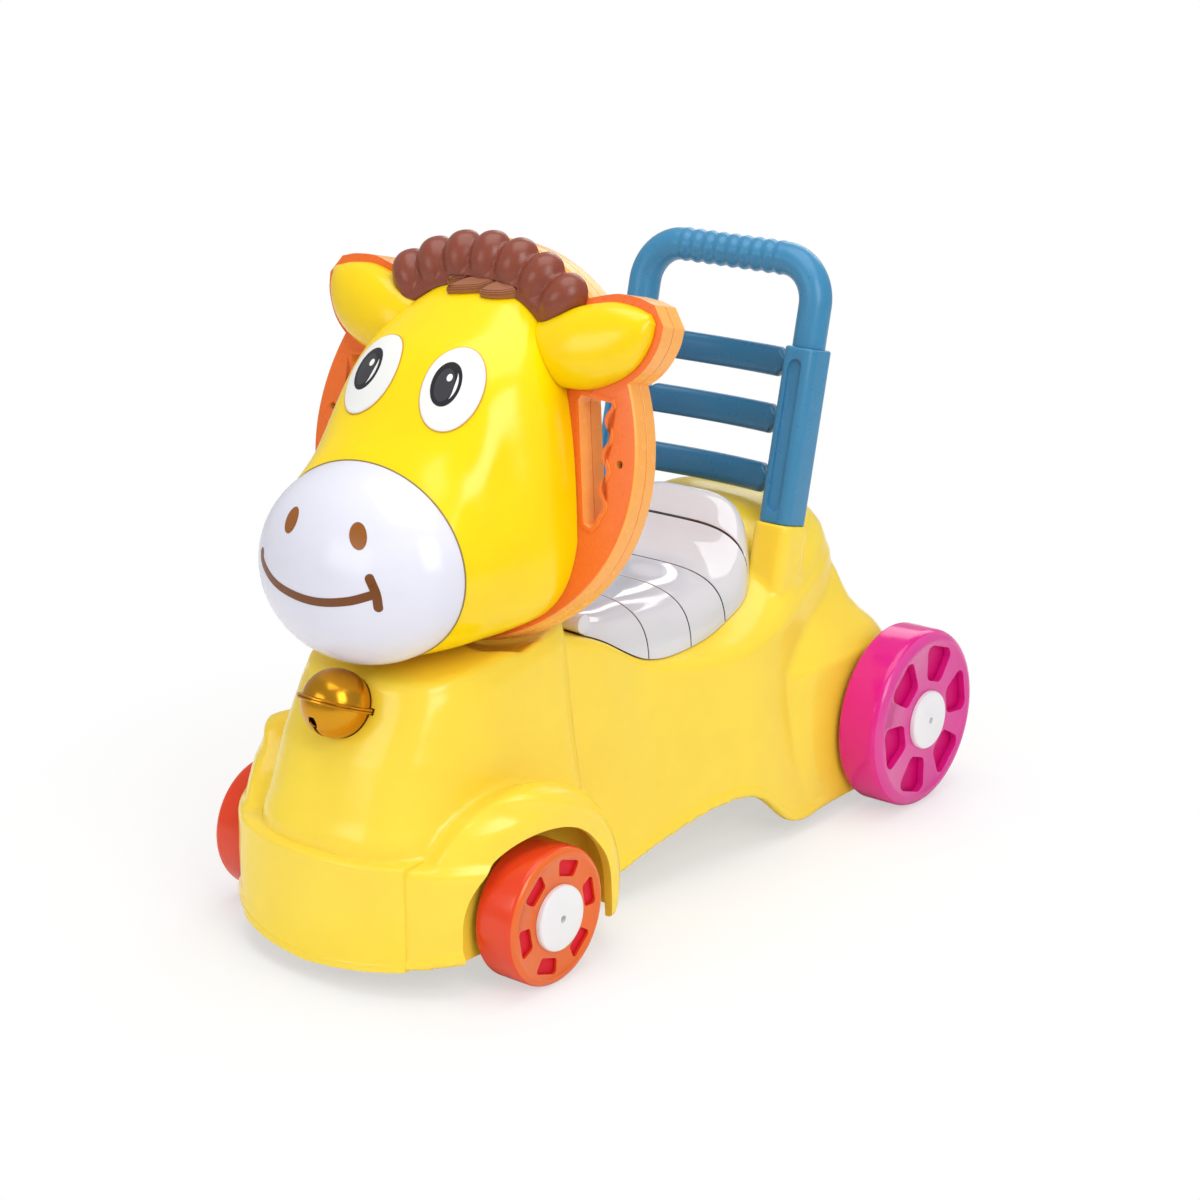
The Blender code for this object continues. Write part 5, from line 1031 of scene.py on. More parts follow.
class PONY_OT_muzzle(bpy.types.Operator):
    """Makes the muzzle with its painted nostrils and smile."""

    bl_idname = "pony.muzzle"
    bl_label = "Muzzle"

    def execute(self, context):
        inside = self.rings(-WALL)
        muzzle = surface("muzzle_skin", np.concatenate([inside[::-1], self.rings(0.0)]))
        white = plastic("muzzle white", colours().muzzle, 0.2)
        finished(muzzle, "head", [white], ["muzzle"])
        for side, word in SIDES:
            centre = (side * NOSTRIL_PLACE[0], NOSTRIL_PLACE[1])
            shear = NOSTRIL_SHEAR if side > 0 else 0.0
            nostril = self.mark(f"nostril_{word}", self.oval(centre, *NOSTRIL_SIZE, shear))
            finished(nostril, "head", [paint("nostril brown", colours().nostril)])
        brown = paint("smile brown", colours().smile)
        for name, places in (("smile", SMILE), ("smile_corner", SMILE_CORNER)):
            rows = self.stroke(smooth_rows(places, 16), sizes().smile_width / 2)
            finished(self.mark(name, rows), "head", [brown])
        seam = swept("muzzle_seam", head_rings(0.0002)[-1], 0.0007, 8, closed=True)
        finished(seam, "head", [paint("seam gold", (0.30, 0.20, 0.04), 0.5)])
        return {"FINISHED"}

    def rings(self, offset):
        """Half an ellipsoid on the seam: c + seam cos(t) + reach sin(t)."""
        seam = head_rings(offset)[-1]
        centre = np.array([0.0, HEAD_ROWS[-1][0], HEAD_ROWS[-1][1]])
        reach = np.array([0.0, *MUZZLE_REACH])
        reach *= 1 + offset / np.linalg.norm(reach)
        angle = np.linspace(0, math.pi / 2 - 0.02, 60)[:, None, None]
        rings = centre + (seam - centre)[None] * np.cos(angle) + reach * np.sin(angle)
        rings[:, :, 1] -= SKIN_GAP
        rings[0, :, :] = seam + np.array([0.0, -SKIN_GAP, 0.0])
        return rings

    def on_muzzle(self, x, z, proud):
        """The muzzle's front at x and z: the ellipsoid's own equation, solved for how far forward it lies."""
        wide, high = HEAD_ROWS[-1][3] + proud, HEAD_ROWS[-1][4] + proud
        reach_y, reach_z = MUZZLE_REACH[0] - proud, MUZZLE_REACH[1]
        side = x / wide
        ring = np.sqrt(np.maximum(1 - side**2, 1e-6))
        slant = math.hypot(high * math.cos(SEAM_TILT), reach_z)
        start = math.atan2(reach_z, high * math.cos(SEAM_TILT))
        turn = start + np.arccos(np.clip((z - HEAD_ROWS[-1][1]) / (ring * slant), -1, 1))
        up, forward = ring * np.cos(turn), ring * np.sin(turn)
        y = HEAD_ROWS[-1][0] - SKIN_GAP + high * math.sin(SEAM_TILT) * up + reach_y * forward
        return np.stack([x, y, z], axis=-1)

    def mark(self, name, rows):
        """A thin painted patch: rows of x and z laid on the muzzle, and again just under its skin."""
        outer = self.on_muzzle(rows[..., 0], rows[..., 1], sizes().mark_proud)
        inner = self.on_muzzle(rows[..., 0], rows[..., 1], -0.0004)
        return surface(name, np.concatenate([outer, inner[:, ::-1]], axis=1))

    def oval(self, centre, half_x, half_z, shear):
        """Rows of points across an upright oval, whose middle line leans by the shear."""
        rise = np.linspace(-0.999, 0.999, 40)
        half = half_x * np.sqrt(1 - rise**2)
        x = centre[0] + half[:, None] * np.linspace(-1, 1, 12) + shear * half_z * rise[:, None]
        z = np.broadcast_to((centre[1] + half_z * rise)[:, None], x.shape)
        return np.stack([x, z], axis=-1)

    def stroke(self, places, half):
        """Points across a curve: the half width falls off at both ends as on a circle."""
        run = np.gradient(places, axis=0)
        run /= np.linalg.norm(run, axis=1)[:, None]
        square = np.column_stack([-run[:, 1], run[:, 0]])
        steps = np.linalg.norm(np.diff(places, axis=0), axis=1)
        along = np.concatenate([[0], np.cumsum(steps)])
        near = np.clip(np.minimum(along, along[-1] - along) / half, 0.02, 1)
        width = half * np.sqrt(1 - (1 - near) ** 2)
        across = np.linspace(-1, 1, 8)[None, :, None]
        return places[:, None] + square[:, None] * width[:, None, None] * across


class PONY_OT_eyes(bpy.types.Operator):
    """Makes the eyes: a gold edge, a white, a dark pupil with a grey middle, and their highlights."""

    bl_idname = "pony.eyes"
    bl_label = "Eyes"

    def execute(self, context):
        size_of, colour_of = sizes(), colours()
        half_x, half_y = size_of.eye_width / 2, size_of.eye_height / 2
        white = paint("eye white", (0.86, 0.86, 0.84), 0.12)
        gold = paint("eye edge", (0.62, 0.33, 0.04), 0.3)
        dark = paint("eye pupil", colour_of.pupil, 0.1)
        grey = paint("eye middle", (0.045, 0.045, 0.052), 0.1)
        for side, word in SIDES:
            facing = (side * EYE_FACING[0], *EYE_FACING[1:])
            here = facing_frame((side * EYE_CENTRE[0], *EYE_CENTRE[1:]), facing)
            eye = laid(f"eye_{word}_white", ellipse(half_x - 0.0006, half_y - 0.0006), here, EYE_LAYERS)
            finished(eye, "head", [white], [f"eye_{word}"])
            outline = ellipse(half_x + 0.0003, half_y + 0.0003)
            edge = laid(f"eye_{word}_edge", outline, here, EYE_EDGE_LAYERS)
            finished(edge, "head", [gold])
            pupil = laid(f"eye_{word}_pupil", ellipse(0.0126, 0.0178, PUPIL_CENTRE), here, PUPIL_LAYERS)
            finished(pupil, "head", [dark])
            x, y = PUPIL_CENTRE
            outline = ellipse(0.0080, 0.0132, (x - 0.001, y - 0.001))
            middle = laid(f"eye_{word}_middle", outline, here, MIDDLE_LAYERS)
            finished(middle, "head", [grey])
            shines = (
                ("dot", ellipse(0.0024, 0.0030, (x + 0.0018, y + 0.0050))),
                ("crescent", self.crescent(PUPIL_CENTRE, 0.0100, 0.0140, 0.0022)),
            )
            for name, outline in shines:
                shine = laid(f"eye_{word}_{name}", outline, here, SHINE_LAYERS)
                finished(shine, "head", [white])
        return {"FINISHED"}

    def crescent(self, centre, half_x, half_y, width):
        """The right side of an oval, and the same arc drawn in by the width in its middle."""
        turn = np.linspace(-0.95, 0.70, 40)
        share = np.sin(np.linspace(0, math.pi, 40))
        outer = np.column_stack([half_x * np.cos(turn), half_y * np.sin(turn)])
        inner = np.column_stack([(half_x - width * share - 0.0002) * np.cos(turn), half_y * np.sin(turn)])
        return np.concatenate([outer, inner[::-1]]) + np.array(centre)


class PONY_OT_forelock(bpy.types.Operator):
    """Makes the forelock: three pointed locks, swept to one side."""

    bl_idname = "pony.forelock"
    bl_label = "Forelock"

    def execute(self, context):
        here, disc = facing_frame(FORELOCK_PLACE, FORELOCK_FACING), leaning(DISC_CENTRE, DISC_TILT)
        brown = plastic("forelock brown", colours().forelock, 0.35)
        for number, corners in enumerate(FORELOCK_LOCKS):
            lock = laid(f"forelock_lock_{number}", rounded(corners), here, FORELOCK_LAYERS)
            behind = block("lock_back", (-0.25, -0.25, -0.05), (0.25, 0.25, 0.0035), disc)
            combined(lock, [behind], "DIFFERENCE")
            finished(lock, "head", [brown], ["forelock"] if number == 0 else ())
        return {"FINISHED"}


def ellipse(half_x, half_y, centre=(0.0, 0.0), steps=96):
    """(a cos t, b sin t) about a centre."""
    angle = np.arange(steps) * 2 * math.pi / steps
    return np.column_stack([centre[0] + half_x * np.cos(angle), centre[1] + half_y * np.sin(angle)])


def rounded(corners, rounds=3):
    """A closed outline whose corners are cut several times at a quarter of each side."""
    outline = np.array(corners, float)
    for _ in range(rounds):
        after = np.roll(outline, -1, axis=0)
        ends = [0.75 * outline + 0.25 * after, 0.25 * outline + 0.75 * after]
        outline = np.stack(ends, axis=1).reshape(-1, 2)
    return outline


def laid(name, outline, matrix, layers):
    """A thin plate on the head: one layer for each inset and height, so that its edge looks rounded."""
    plates = []
    for number, (inset, proud) in enumerate(layers):
        plate = prism(f"{name}_{number}", offset_outline(outline, -inset), -0.035, 0.035, matrix)
        combined(plate, [head_solid("over", proud, 0.004)], "INTERSECT")
        plates.append(plate)
    if plates[1:]:
        combined(plates[0], plates[1:], "UNION")
    plate = combined(plates[0], [head_solid("under", CURVED_GAP, 0.02)], "DIFFERENCE")
    plate.name = name
    return plate


# Ears, mane and disc


def ear_sections(side, margin, samples):
    """For each place along the ear: its middle point, the direction across it, half width and bulge."""
    start, middle, tip = np.array(EAR_RUN)
    share, half_width, bulge = smooth_rows(EAR_ROWS, samples).T
    share, half_width, bulge = share[:, None], half_width[:, None], bulge[:, None]
    place = start * (1 - share) ** 2 + middle * 2 * share * (1 - share) + tip * share**2
    run = (middle - start) * (1 - share) + (tip - middle) * share
    run /= np.linalg.norm(run, axis=1)[:, None]
    flip = np.array([side, 1.0])
    across = np.column_stack([-run[:, 1], run[:, 0]]) * flip
    return (place + run * margin * share) * flip, across, half_width + margin, bulge


def ear_form(name, side, margin, foot=SKIN_GAP):
    """A swollen leaf: sections of width w cos(t) and height gap + bulge sin(t) ** 0.8 along a curve."""
    angle = np.linspace(0, math.pi, 33)
    place, across, half_width, bulge = ear_sections(side, margin, 8)
    widths = half_width * np.cos(angle)
    heights = SKIN_GAP + (bulge + margin) * np.abs(np.sin(angle)) ** 0.8
    if foot != SKIN_GAP:
        widths = np.concatenate([widths[:, :1], widths, widths[:, -1:]], axis=1)
        feet = np.full((len(heights), 1), foot)
        heights = np.concatenate([feet, heights, feet], axis=1)
    flat = place[:, None] + across[:, None] * widths[:, :, None]
    rings = np.concatenate([flat, heights[:, :, None]], axis=-1)
    return surface(name, placed(rings, leaning(DISC_CENTRE, DISC_TILT)))


class PONY_OT_ears(bpy.types.Operator):
    """Makes the two leaf-shaped ears on the disc's face."""

    bl_idname = "pony.ears"
    bl_label = "Ears"

    def execute(self, context):
        yellow = plastic("ear yellow", colours().ear, 0.22)
        for side, word in SIDES:
            ear = ear_form(f"ear_{word}_skin", side, 0.0)
            combined(ear, [head_solid("ear_seat", CURVED_GAP)], "DIFFERENCE")
            finished(ear, "head", [yellow], [f"ear_{word}"])
        return {"FINISHED"}


class PONY_OT_mane(bpy.types.Operator):
    """Makes the mane: a fan of plump lobes round the top of the disc."""

    bl_idname = "pony.mane"
    bl_label = "Mane"

    def execute(self, context):
        size_of = sizes()
        here = leaning(DISC_CENTRE, DISC_TILT)
        lobes = [self.lobe(number, here) for number in range(size_of.lobe_count)]
        lobes.append(self.root(here))
        mane = combined(lobes[0], lobes[1:], "UNION")
        mane.name = "mane_skin"
        skinned(mane, size_of.mane_voxel, 3)
        cuts = [block("mane_back", (-0.25, -0.25, -0.05), (0.25, 0.25, SKIN_GAP), here)]
        cuts.append(head_solid("mane_seat", CURVED_GAP))
        cuts += [ear_form(f"mane_ear_seat_{word}", side, CURVED_GAP, -0.01) for side, word in SIDES]
        lock_frame = facing_frame(FORELOCK_PLACE, FORELOCK_FACING)
        for number, corners in enumerate(FORELOCK_LOCKS):
            grown = offset_outline(rounded(corners), SKIN_GAP)
            cuts.append(laid(f"lock_seat_{number}", grown, lock_frame, ((0.0, 0.0092),)))
        combined(mane, cuts, "DIFFERENCE")
        finished(mane, "head", [plastic("mane brown", colours().mane, 0.3)], ["mane"])
        return {"FINISHED"}

    def root(self, here):
        """The round band that joins the lobes behind, along an arc of the disc."""
        end = (sizes().lobe_count - 0.2) / 2 * LOBE_STEP
        angle = np.linspace(-end, end, 60)
        reach = MANE_RADIUS - 0.006
        arc_path = np.column_stack([reach * np.sin(angle), reach * np.cos(angle), np.full(60, 0.004)])
        return swept("mane_root", placed(arc_path, here), sizes().lobe_depth * 0.6, 24)

    def lobe(self, number, here):
        """An egg-shaped lobe: rings of size sin(t) ** 0.8 along a line away from the disc's middle."""
        size_of = sizes()
        angle = (number - (size_of.lobe_count - 1) / 2) * LOBE_STEP
        reach = MANE_RADIUS + 0.030 - size_of.lobe_length
        place = (reach * math.sin(angle), reach * math.cos(angle), 0.0)
        local = here @ Matrix.Translation(place) @ Matrix.Rotation(-angle, 4, "Z")
        step = np.linspace(0.02, math.pi - 0.02, 40)
        turn = np.arange(48) * 2 * math.pi / 48
        girth = np.sin(step) ** 0.8
        rings = np.stack([
            size_of.lobe_width * np.outer(girth, np.cos(turn)),
            np.repeat(-size_of.lobe_length * np.cos(step)[:, None], 48, axis=1),
            size_of.lobe_depth * np.outer(girth, np.sin(turn)),
        ], axis=-1)
        return surface(f"lobe_{number}", placed(rings, local))


def disc_outline(steps=240):
    """(r cos t, r sin t), with the radius of the disc's rim at each angle."""
    angle = np.arange(steps) * 2 * math.pi / steps
    radius = disc_rim(np.degrees(np.arcsin(np.sin(angle))))
    return np.column_stack([radius * np.cos(angle), radius * np.sin(angle)])


def slot_outline(side, margin=0.0):
    """A hand slot: a straight inner side, and a wavy outer side that the fingers close on."""
    share = np.linspace(0, 1, 60)
    up = SLOT_TOP + (SLOT_BOTTOM - SLOT_TOP) * share
    outer = SLOT_OUTER_X[0] + (SLOT_OUTER_X[1] - SLOT_OUTER_X[0]) * share
    outer = outer + SLOT_WAVE * np.cos(2 * math.pi * SLOT_WAVE_COUNT * share)
    inner = [(outer[-1] - 0.004, SLOT_BOTTOM - 0.005), (SLOT_INNER_X[1] + 0.002, SLOT_BOTTOM - 0.003)]
    inner += [(SLOT_INNER_X[1], SLOT_BOTTOM + 0.003), (SLOT_INNER_X[0], SLOT_TOP - 0.002)]
    inner += [(SLOT_INNER_X[0] + 0.002, SLOT_TOP + 0.002)]
    outline = np.vstack([np.column_stack([outer, up]), inner]) * np.array([side, 1])
    return offset_outline(outline, margin)


def backing_form(name, side, low, high, here):
    """The flat leaf that stands out behind an ear, as part of the disc."""
    place, across, half_width, _ = ear_sections(side, BACKING_MARGIN, 8)
    outline = np.concatenate([place + across * half_width, (place - across * half_width)[::-1]])
    return prism(name, outline, low, high, here)


class PONY_OT_disc(bpy.types.Operator):
    """Makes the disc behind the head from two half shells, with hand slots and the backing of the ears."""

    bl_idname = "pony.disc"
    bl_label = "Disc"

    def execute(self, context):
        here = leaning(DISC_CENTRE, DISC_TILT)
        middle = -DISC_THICKNESS / 2
        outline = disc_outline()
        faces = [plastic("disc orange", colours().disc, 0.28)]
        # Painted highlight: the rim takes a lighter copy of the disc's orange.
        faces.append(plastic("disc rim orange", colours().disc_rim, 0.25))
        half_shells = (
            ("disc_front", 0.0, middle + 0.00025, 1),
            ("disc_back", -DISC_THICKNESS, middle - 0.00025, -1),
        )
        for name, face, seam, sign in half_shells:
            rings = [level(offset_outline(outline, -0.0004), seam), level(outline, seam + sign * 0.0004)]
            for angle in np.linspace(0, math.pi / 2, 7):
                edge = offset_outline(outline, -DISC_EDGE * (1 - math.cos(angle)))
                rings.append(level(edge, face - sign * DISC_EDGE * (1 - math.sin(angle))))
            half = surface(f"{name}_skin", placed(rings, here))
            low, high = min(face, seam), max(face, seam)
            backing = [backing_form(f"backing_{word}", side, low, high, here) for side, word in SIDES]
            combined(half, backing, "UNION")
            if sign > 0:
                rims = []
                for side, word in SIDES:
                    rims.append(prism(f"slot_rim_{word}", slot_outline(side, 0.0032), -0.004, 0.0012, here))
                combined(half, rims, "UNION")
            combined(half, self.hollows(face, middle, sign, here), "DIFFERENCE")
            finished(half, "head", faces, [name])
            self.paint_light_by_facing(half, here)
        return {"FINISHED"}

    def hollows(self, face, middle, sign, here):
        """The space inside a half shell, its hand slots and the counterbores of its screws."""
        low, high = sorted((face - sign * WALL, middle - sign * 0.002))
        rim = DISC_RADIUS - WALL - 0.0005
        profile = ((0.02, low), (rim, low), (rim, high), (0.02, high))
        hollow = turned("hollow", profile, here, 120, looped=True)
        keep = [prism(f"collar_{word}", slot_outline(side, 0.004), -0.05, 0.05, here) for side, word in SIDES]
        for side, word in SIDES:
            keep.append(rod(f"boss_{word}", DISC_BOSS_RADIUS, -0.05, 0.05, self.screw_spot(side, here)))
        combined(hollow, keep, "DIFFERENCE")
        cuts = [hollow]
        for side, word in SIDES:
            spot = self.screw_spot(side, here)
            cuts.append(prism(f"slot_{word}", slot_outline(side), -0.05, 0.05, here))
            if sign > 0:
                radius, depth = DISC_COUNTERBORE
                cuts.append(rod(f"counterbore_{word}", radius, -depth, 0.01, spot))
            low, high = (middle - 0.002, 0.0) if sign > 0 else (-DISC_THICKNESS + WALL, middle + 0.002)
            cuts.append(rod(f"bolt_{word}", DISC_BOLT_RADIUS, low, high, spot, 24))
        return cuts

    def screw_spot(self, side, here):
        x, y = DISC_SCREW_PLACE
        return here @ Matrix.Translation((side * x, y, 0))

    def paint_light_by_facing(self, half, here):
        """The flat faces take the first material, and everything that stands square to them the second, the
        rim's painted highlight.
        """
        normals = np.empty(len(half.data.polygons) * 3, np.float32)
        half.data.polygons.foreach_get("normal", normals)
        facing = np.abs(normals.reshape(-1, 3) @ np.array(here.to_3x3().col[2]))
        half.data.polygons.foreach_set("material_index", (facing < 0.9).astype(np.int32))


# Wheels


def wheel_frame(side, axle):
    """Z runs outwards along the axle from the middle of the toy, and Y points up."""
    return Matrix(((0, 0, side, 0), (side, 0, 0, axle[0]), (0, 1, 0, axle[1]), (0, 0, 0, 1)))


def arc(centre, radius, start, end, steps=8):
    """Points on a circle from one angle to another, in degrees."""
    angle = np.radians(np.linspace(start, end, steps))
    return list(np.column_stack([centre[0] + radius * np.cos(angle), centre[1] + radius * np.sin(angle)]))


class PONY_OT_wheels(bpy.types.Operator):
    """Makes the four wheels: a rim with six windows, the plate behind them and the axle cap."""

    bl_idname = "pony.wheels"
    bl_label = "Wheels"

    def execute(self, context):
        made = colours()
        # Painted light and shade: a wheel's face takes the lit colour and its tread the shaded colour of the
        # same plastic.
        front = [plastic("front wheel face", made.front_lit_face, 0.2)]
        front.append(plastic("front wheel tread", made.front_shaded_tread, 0.2))
        rear = [plastic("rear wheel face", made.rear_lit_face, 0.15)]
        rear.append(plastic("rear wheel tread", made.rear_shaded_tread, 0.15))
        # Painted shade: the plate behind the windows takes a darker copy of the wheel's plastic.
        front_back = plastic("front wheel inside", made.front_back, 0.4, shine=0.15)
        rear_back = plastic("rear wheel inside", made.rear_back, 0.4, shine=0.15)
        cap = plastic("cap white", made.cap, 0.2)
        kinds = (
            ("front", FRONT_AXLE, FRONT_WINDOW, FRONT_DEPTHS, (front, front_back, cap), "red"),
            ("rear", REAR_AXLE, REAR_WINDOW, REAR_DEPTHS, (rear, rear_back, cap), "pink"),
        )
        for side, word in SIDES:
            for kind in kinds:
                self.wheel(side, word, *kind)
        return {"FINISHED"}

    def wheel(self, side, word, end, axle, window, depths, finishes, tint):
        """A rim, the plate behind its windows and its cap, each a profile turned about the axle."""
        faces, shaded_inside_finish, cap_finish = finishes
        here = wheel_frame(side, axle)
        radius, width, face = axle[1:]
        name, body = f"{end}_{word}", f"{end}_{word}_wheel"
        shoulder, web = depths
        back, inner = face - width, radius - 0.005
        profile = [(BORE_RADIUS, face - FACE_DISH), (HUB_RADIUS + 0.016, face - FACE_DISH)]
        profile.append((radius - shoulder - 0.002, face - FACE_DISH))
        profile.append((radius - shoulder - 0.0006, face - 0.0004))
        profile += arc((radius - shoulder, face - shoulder), shoulder, 90, 0, 14)[1:]
        profile += arc((radius - 0.004, back + 0.004), 0.004, 0, -90, 8)
        profile += [(inner, back), (inner, face - web), (HUB_RADIUS, face - web)]
        profile += [(HUB_RADIUS, back + width / 2), (BORE_RADIUS, back + width / 2)]
        rim = turned(f"{name}_rim_skin", profile, here, 192, looped=True)
        cuts = []
        for number in range(WINDOW_COUNT):
            outline = self.window(*window, WINDOW_START + number * 2 * math.pi / WINDOW_COUNT)
            cuts.append(prism(f"window_{number}", outline, face - web - 0.003, face + 0.002, here))
        combined(rim, cuts, "DIFFERENCE")
        softened(rim, 0.0007)
        finished(rim, body, faces, [f"{name}_rim"])
        self.paint_light_by_facing(rim)
        plate = face - web - 0.0004
        profile = [(HUB_RADIUS + SKIN_GAP, back - 0.001), (HUB_RADIUS + 0.003, back - 0.001)]
        profile += [(HUB_RADIUS + 0.003, plate - 0.003), (inner - SKIN_GAP, plate - 0.003)]
        profile += [(inner - SKIN_GAP, plate), (HUB_RADIUS + SKIN_GAP, plate)]
        inside = turned(f"{name}_back_skin", profile, here, 96, looped=True)
        finished(inside, body, [shaded_inside_finish], [f"{name}_back"])
        foot = face - 0.0012
        profile = [(0.0028, foot), (CAP_RADIUS, foot)]
        profile += arc((CAP_RADIUS - 0.0028, foot + 0.0022), 0.0028, 0, 75, 8)
        profile += [(CAP_RADIUS - 0.006, foot + 0.0054), (0.006, foot + 0.0058), (0.0034, foot + 0.0056)]
        profile += [(0.0028, foot + 0.0050)]
        cap = turned(f"{name}_cap_skin", profile, here, 96, looped=True)
        finished(cap, body, [cap_finish], [f"{name}_cap"])

    def window(self, low, high, spread, middle):
        """A ring sector with round corners: a rounded box bent round the axle."""
        radius = (low + high) / 2
        corner = min((high - low) / 2, spread * radius / 2) * 0.45
        box = rounded_box(spread * radius / 2, (high - low) / 2, corner, arc=6)
        reach, angle = radius + box[:, 1], middle + box[:, 0] / radius
        return np.column_stack([reach * np.cos(angle), reach * np.sin(angle)])

    def paint_light_by_facing(self, rim):
        """Faces that look along the axle take the first material, the lit colour, and the tread takes the
        second, the same plastic painted in shade.
        """
        normals = np.empty(len(rim.data.polygons) * 3, np.float32)
        rim.data.polygons.foreach_get("normal", normals)
        along = np.abs(normals.reshape(-1, 3)[:, 0])
        rim.data.polygons.foreach_set("material_index", (along < 0.55).astype(np.int32))


def softened(piece, width):
    """Small round edges where faces meet at a sharp angle."""
    bevel = piece.modifiers.new("soft edges", "BEVEL")
    bevel.width = width
    bevel.segments = 3
    bevel.limit_method = "ANGLE"
    bevel.angle_limit = math.radians(40)
    return settled(piece)


# Bell


class PONY_OT_bell(bpy.types.Operator):
    """Makes the jingle bell: two domes that meet in a flange, with a slot below."""

    bl_idname = "pony.bell"
    bl_label = "Bell"

    def execute(self, context):
        gold = metal("bell gold", colours().bell, 0.22)
        here = bell_frame()
        for name, sign in (("bell_upper", 1), ("bell_lower", -1)):
            half = turned(f"{name}_skin", self.profile(sign), here)
            if sign < 0:
                reach = BELL_RADIUS * math.sin(BELL_SLOT_ANGLE)
                depth = -BELL_RADIUS * math.cos(BELL_SLOT_ANGLE)
                low, high = (-BELL_SLOT_HALF, -reach, -0.04), (BELL_SLOT_HALF, reach, depth - 0.002)
                cuts = [block("bell_slot", low, high, here)]
                for number, end in enumerate((-1, 1)):
                    spot = here @ Matrix.Translation((0, end * reach, 0))
                    cuts.append(rod(f"slot_end_{number}", BELL_SLOT_END_RADIUS, -0.04, depth * 0.75, spot))
                combined(half, cuts, "DIFFERENCE")
            finished(half, "base", [gold], [name])
        return {"FINISHED"}

    def profile(self, sign):
        """The inside of a dome, (r cos t, r sin t), then the flange's edge, then the outside."""
        inner = BELL_RADIUS - BELL_WALL
        flange = BELL_RADIUS + sizes().bell_flange
        angle = np.linspace(math.pi / 2 - 0.02, 0, 16)
        rows = list(np.column_stack([inner * np.cos(angle), sign * (0.00015 + inner * np.sin(angle))]))
        rows += [(flange - 0.0004, sign * 0.00015), (flange, sign * 0.0005), (flange, sign * 0.0013)]
        rows += [(flange - 0.0005, sign * 0.0018)]
        angle = np.linspace(math.asin(0.0022 / BELL_RADIUS), math.pi / 2 - 0.02, 28)
        rows += list(np.column_stack([BELL_RADIUS * np.cos(angle), sign * BELL_RADIUS * np.sin(angle)]))
        return rows


# Push handle


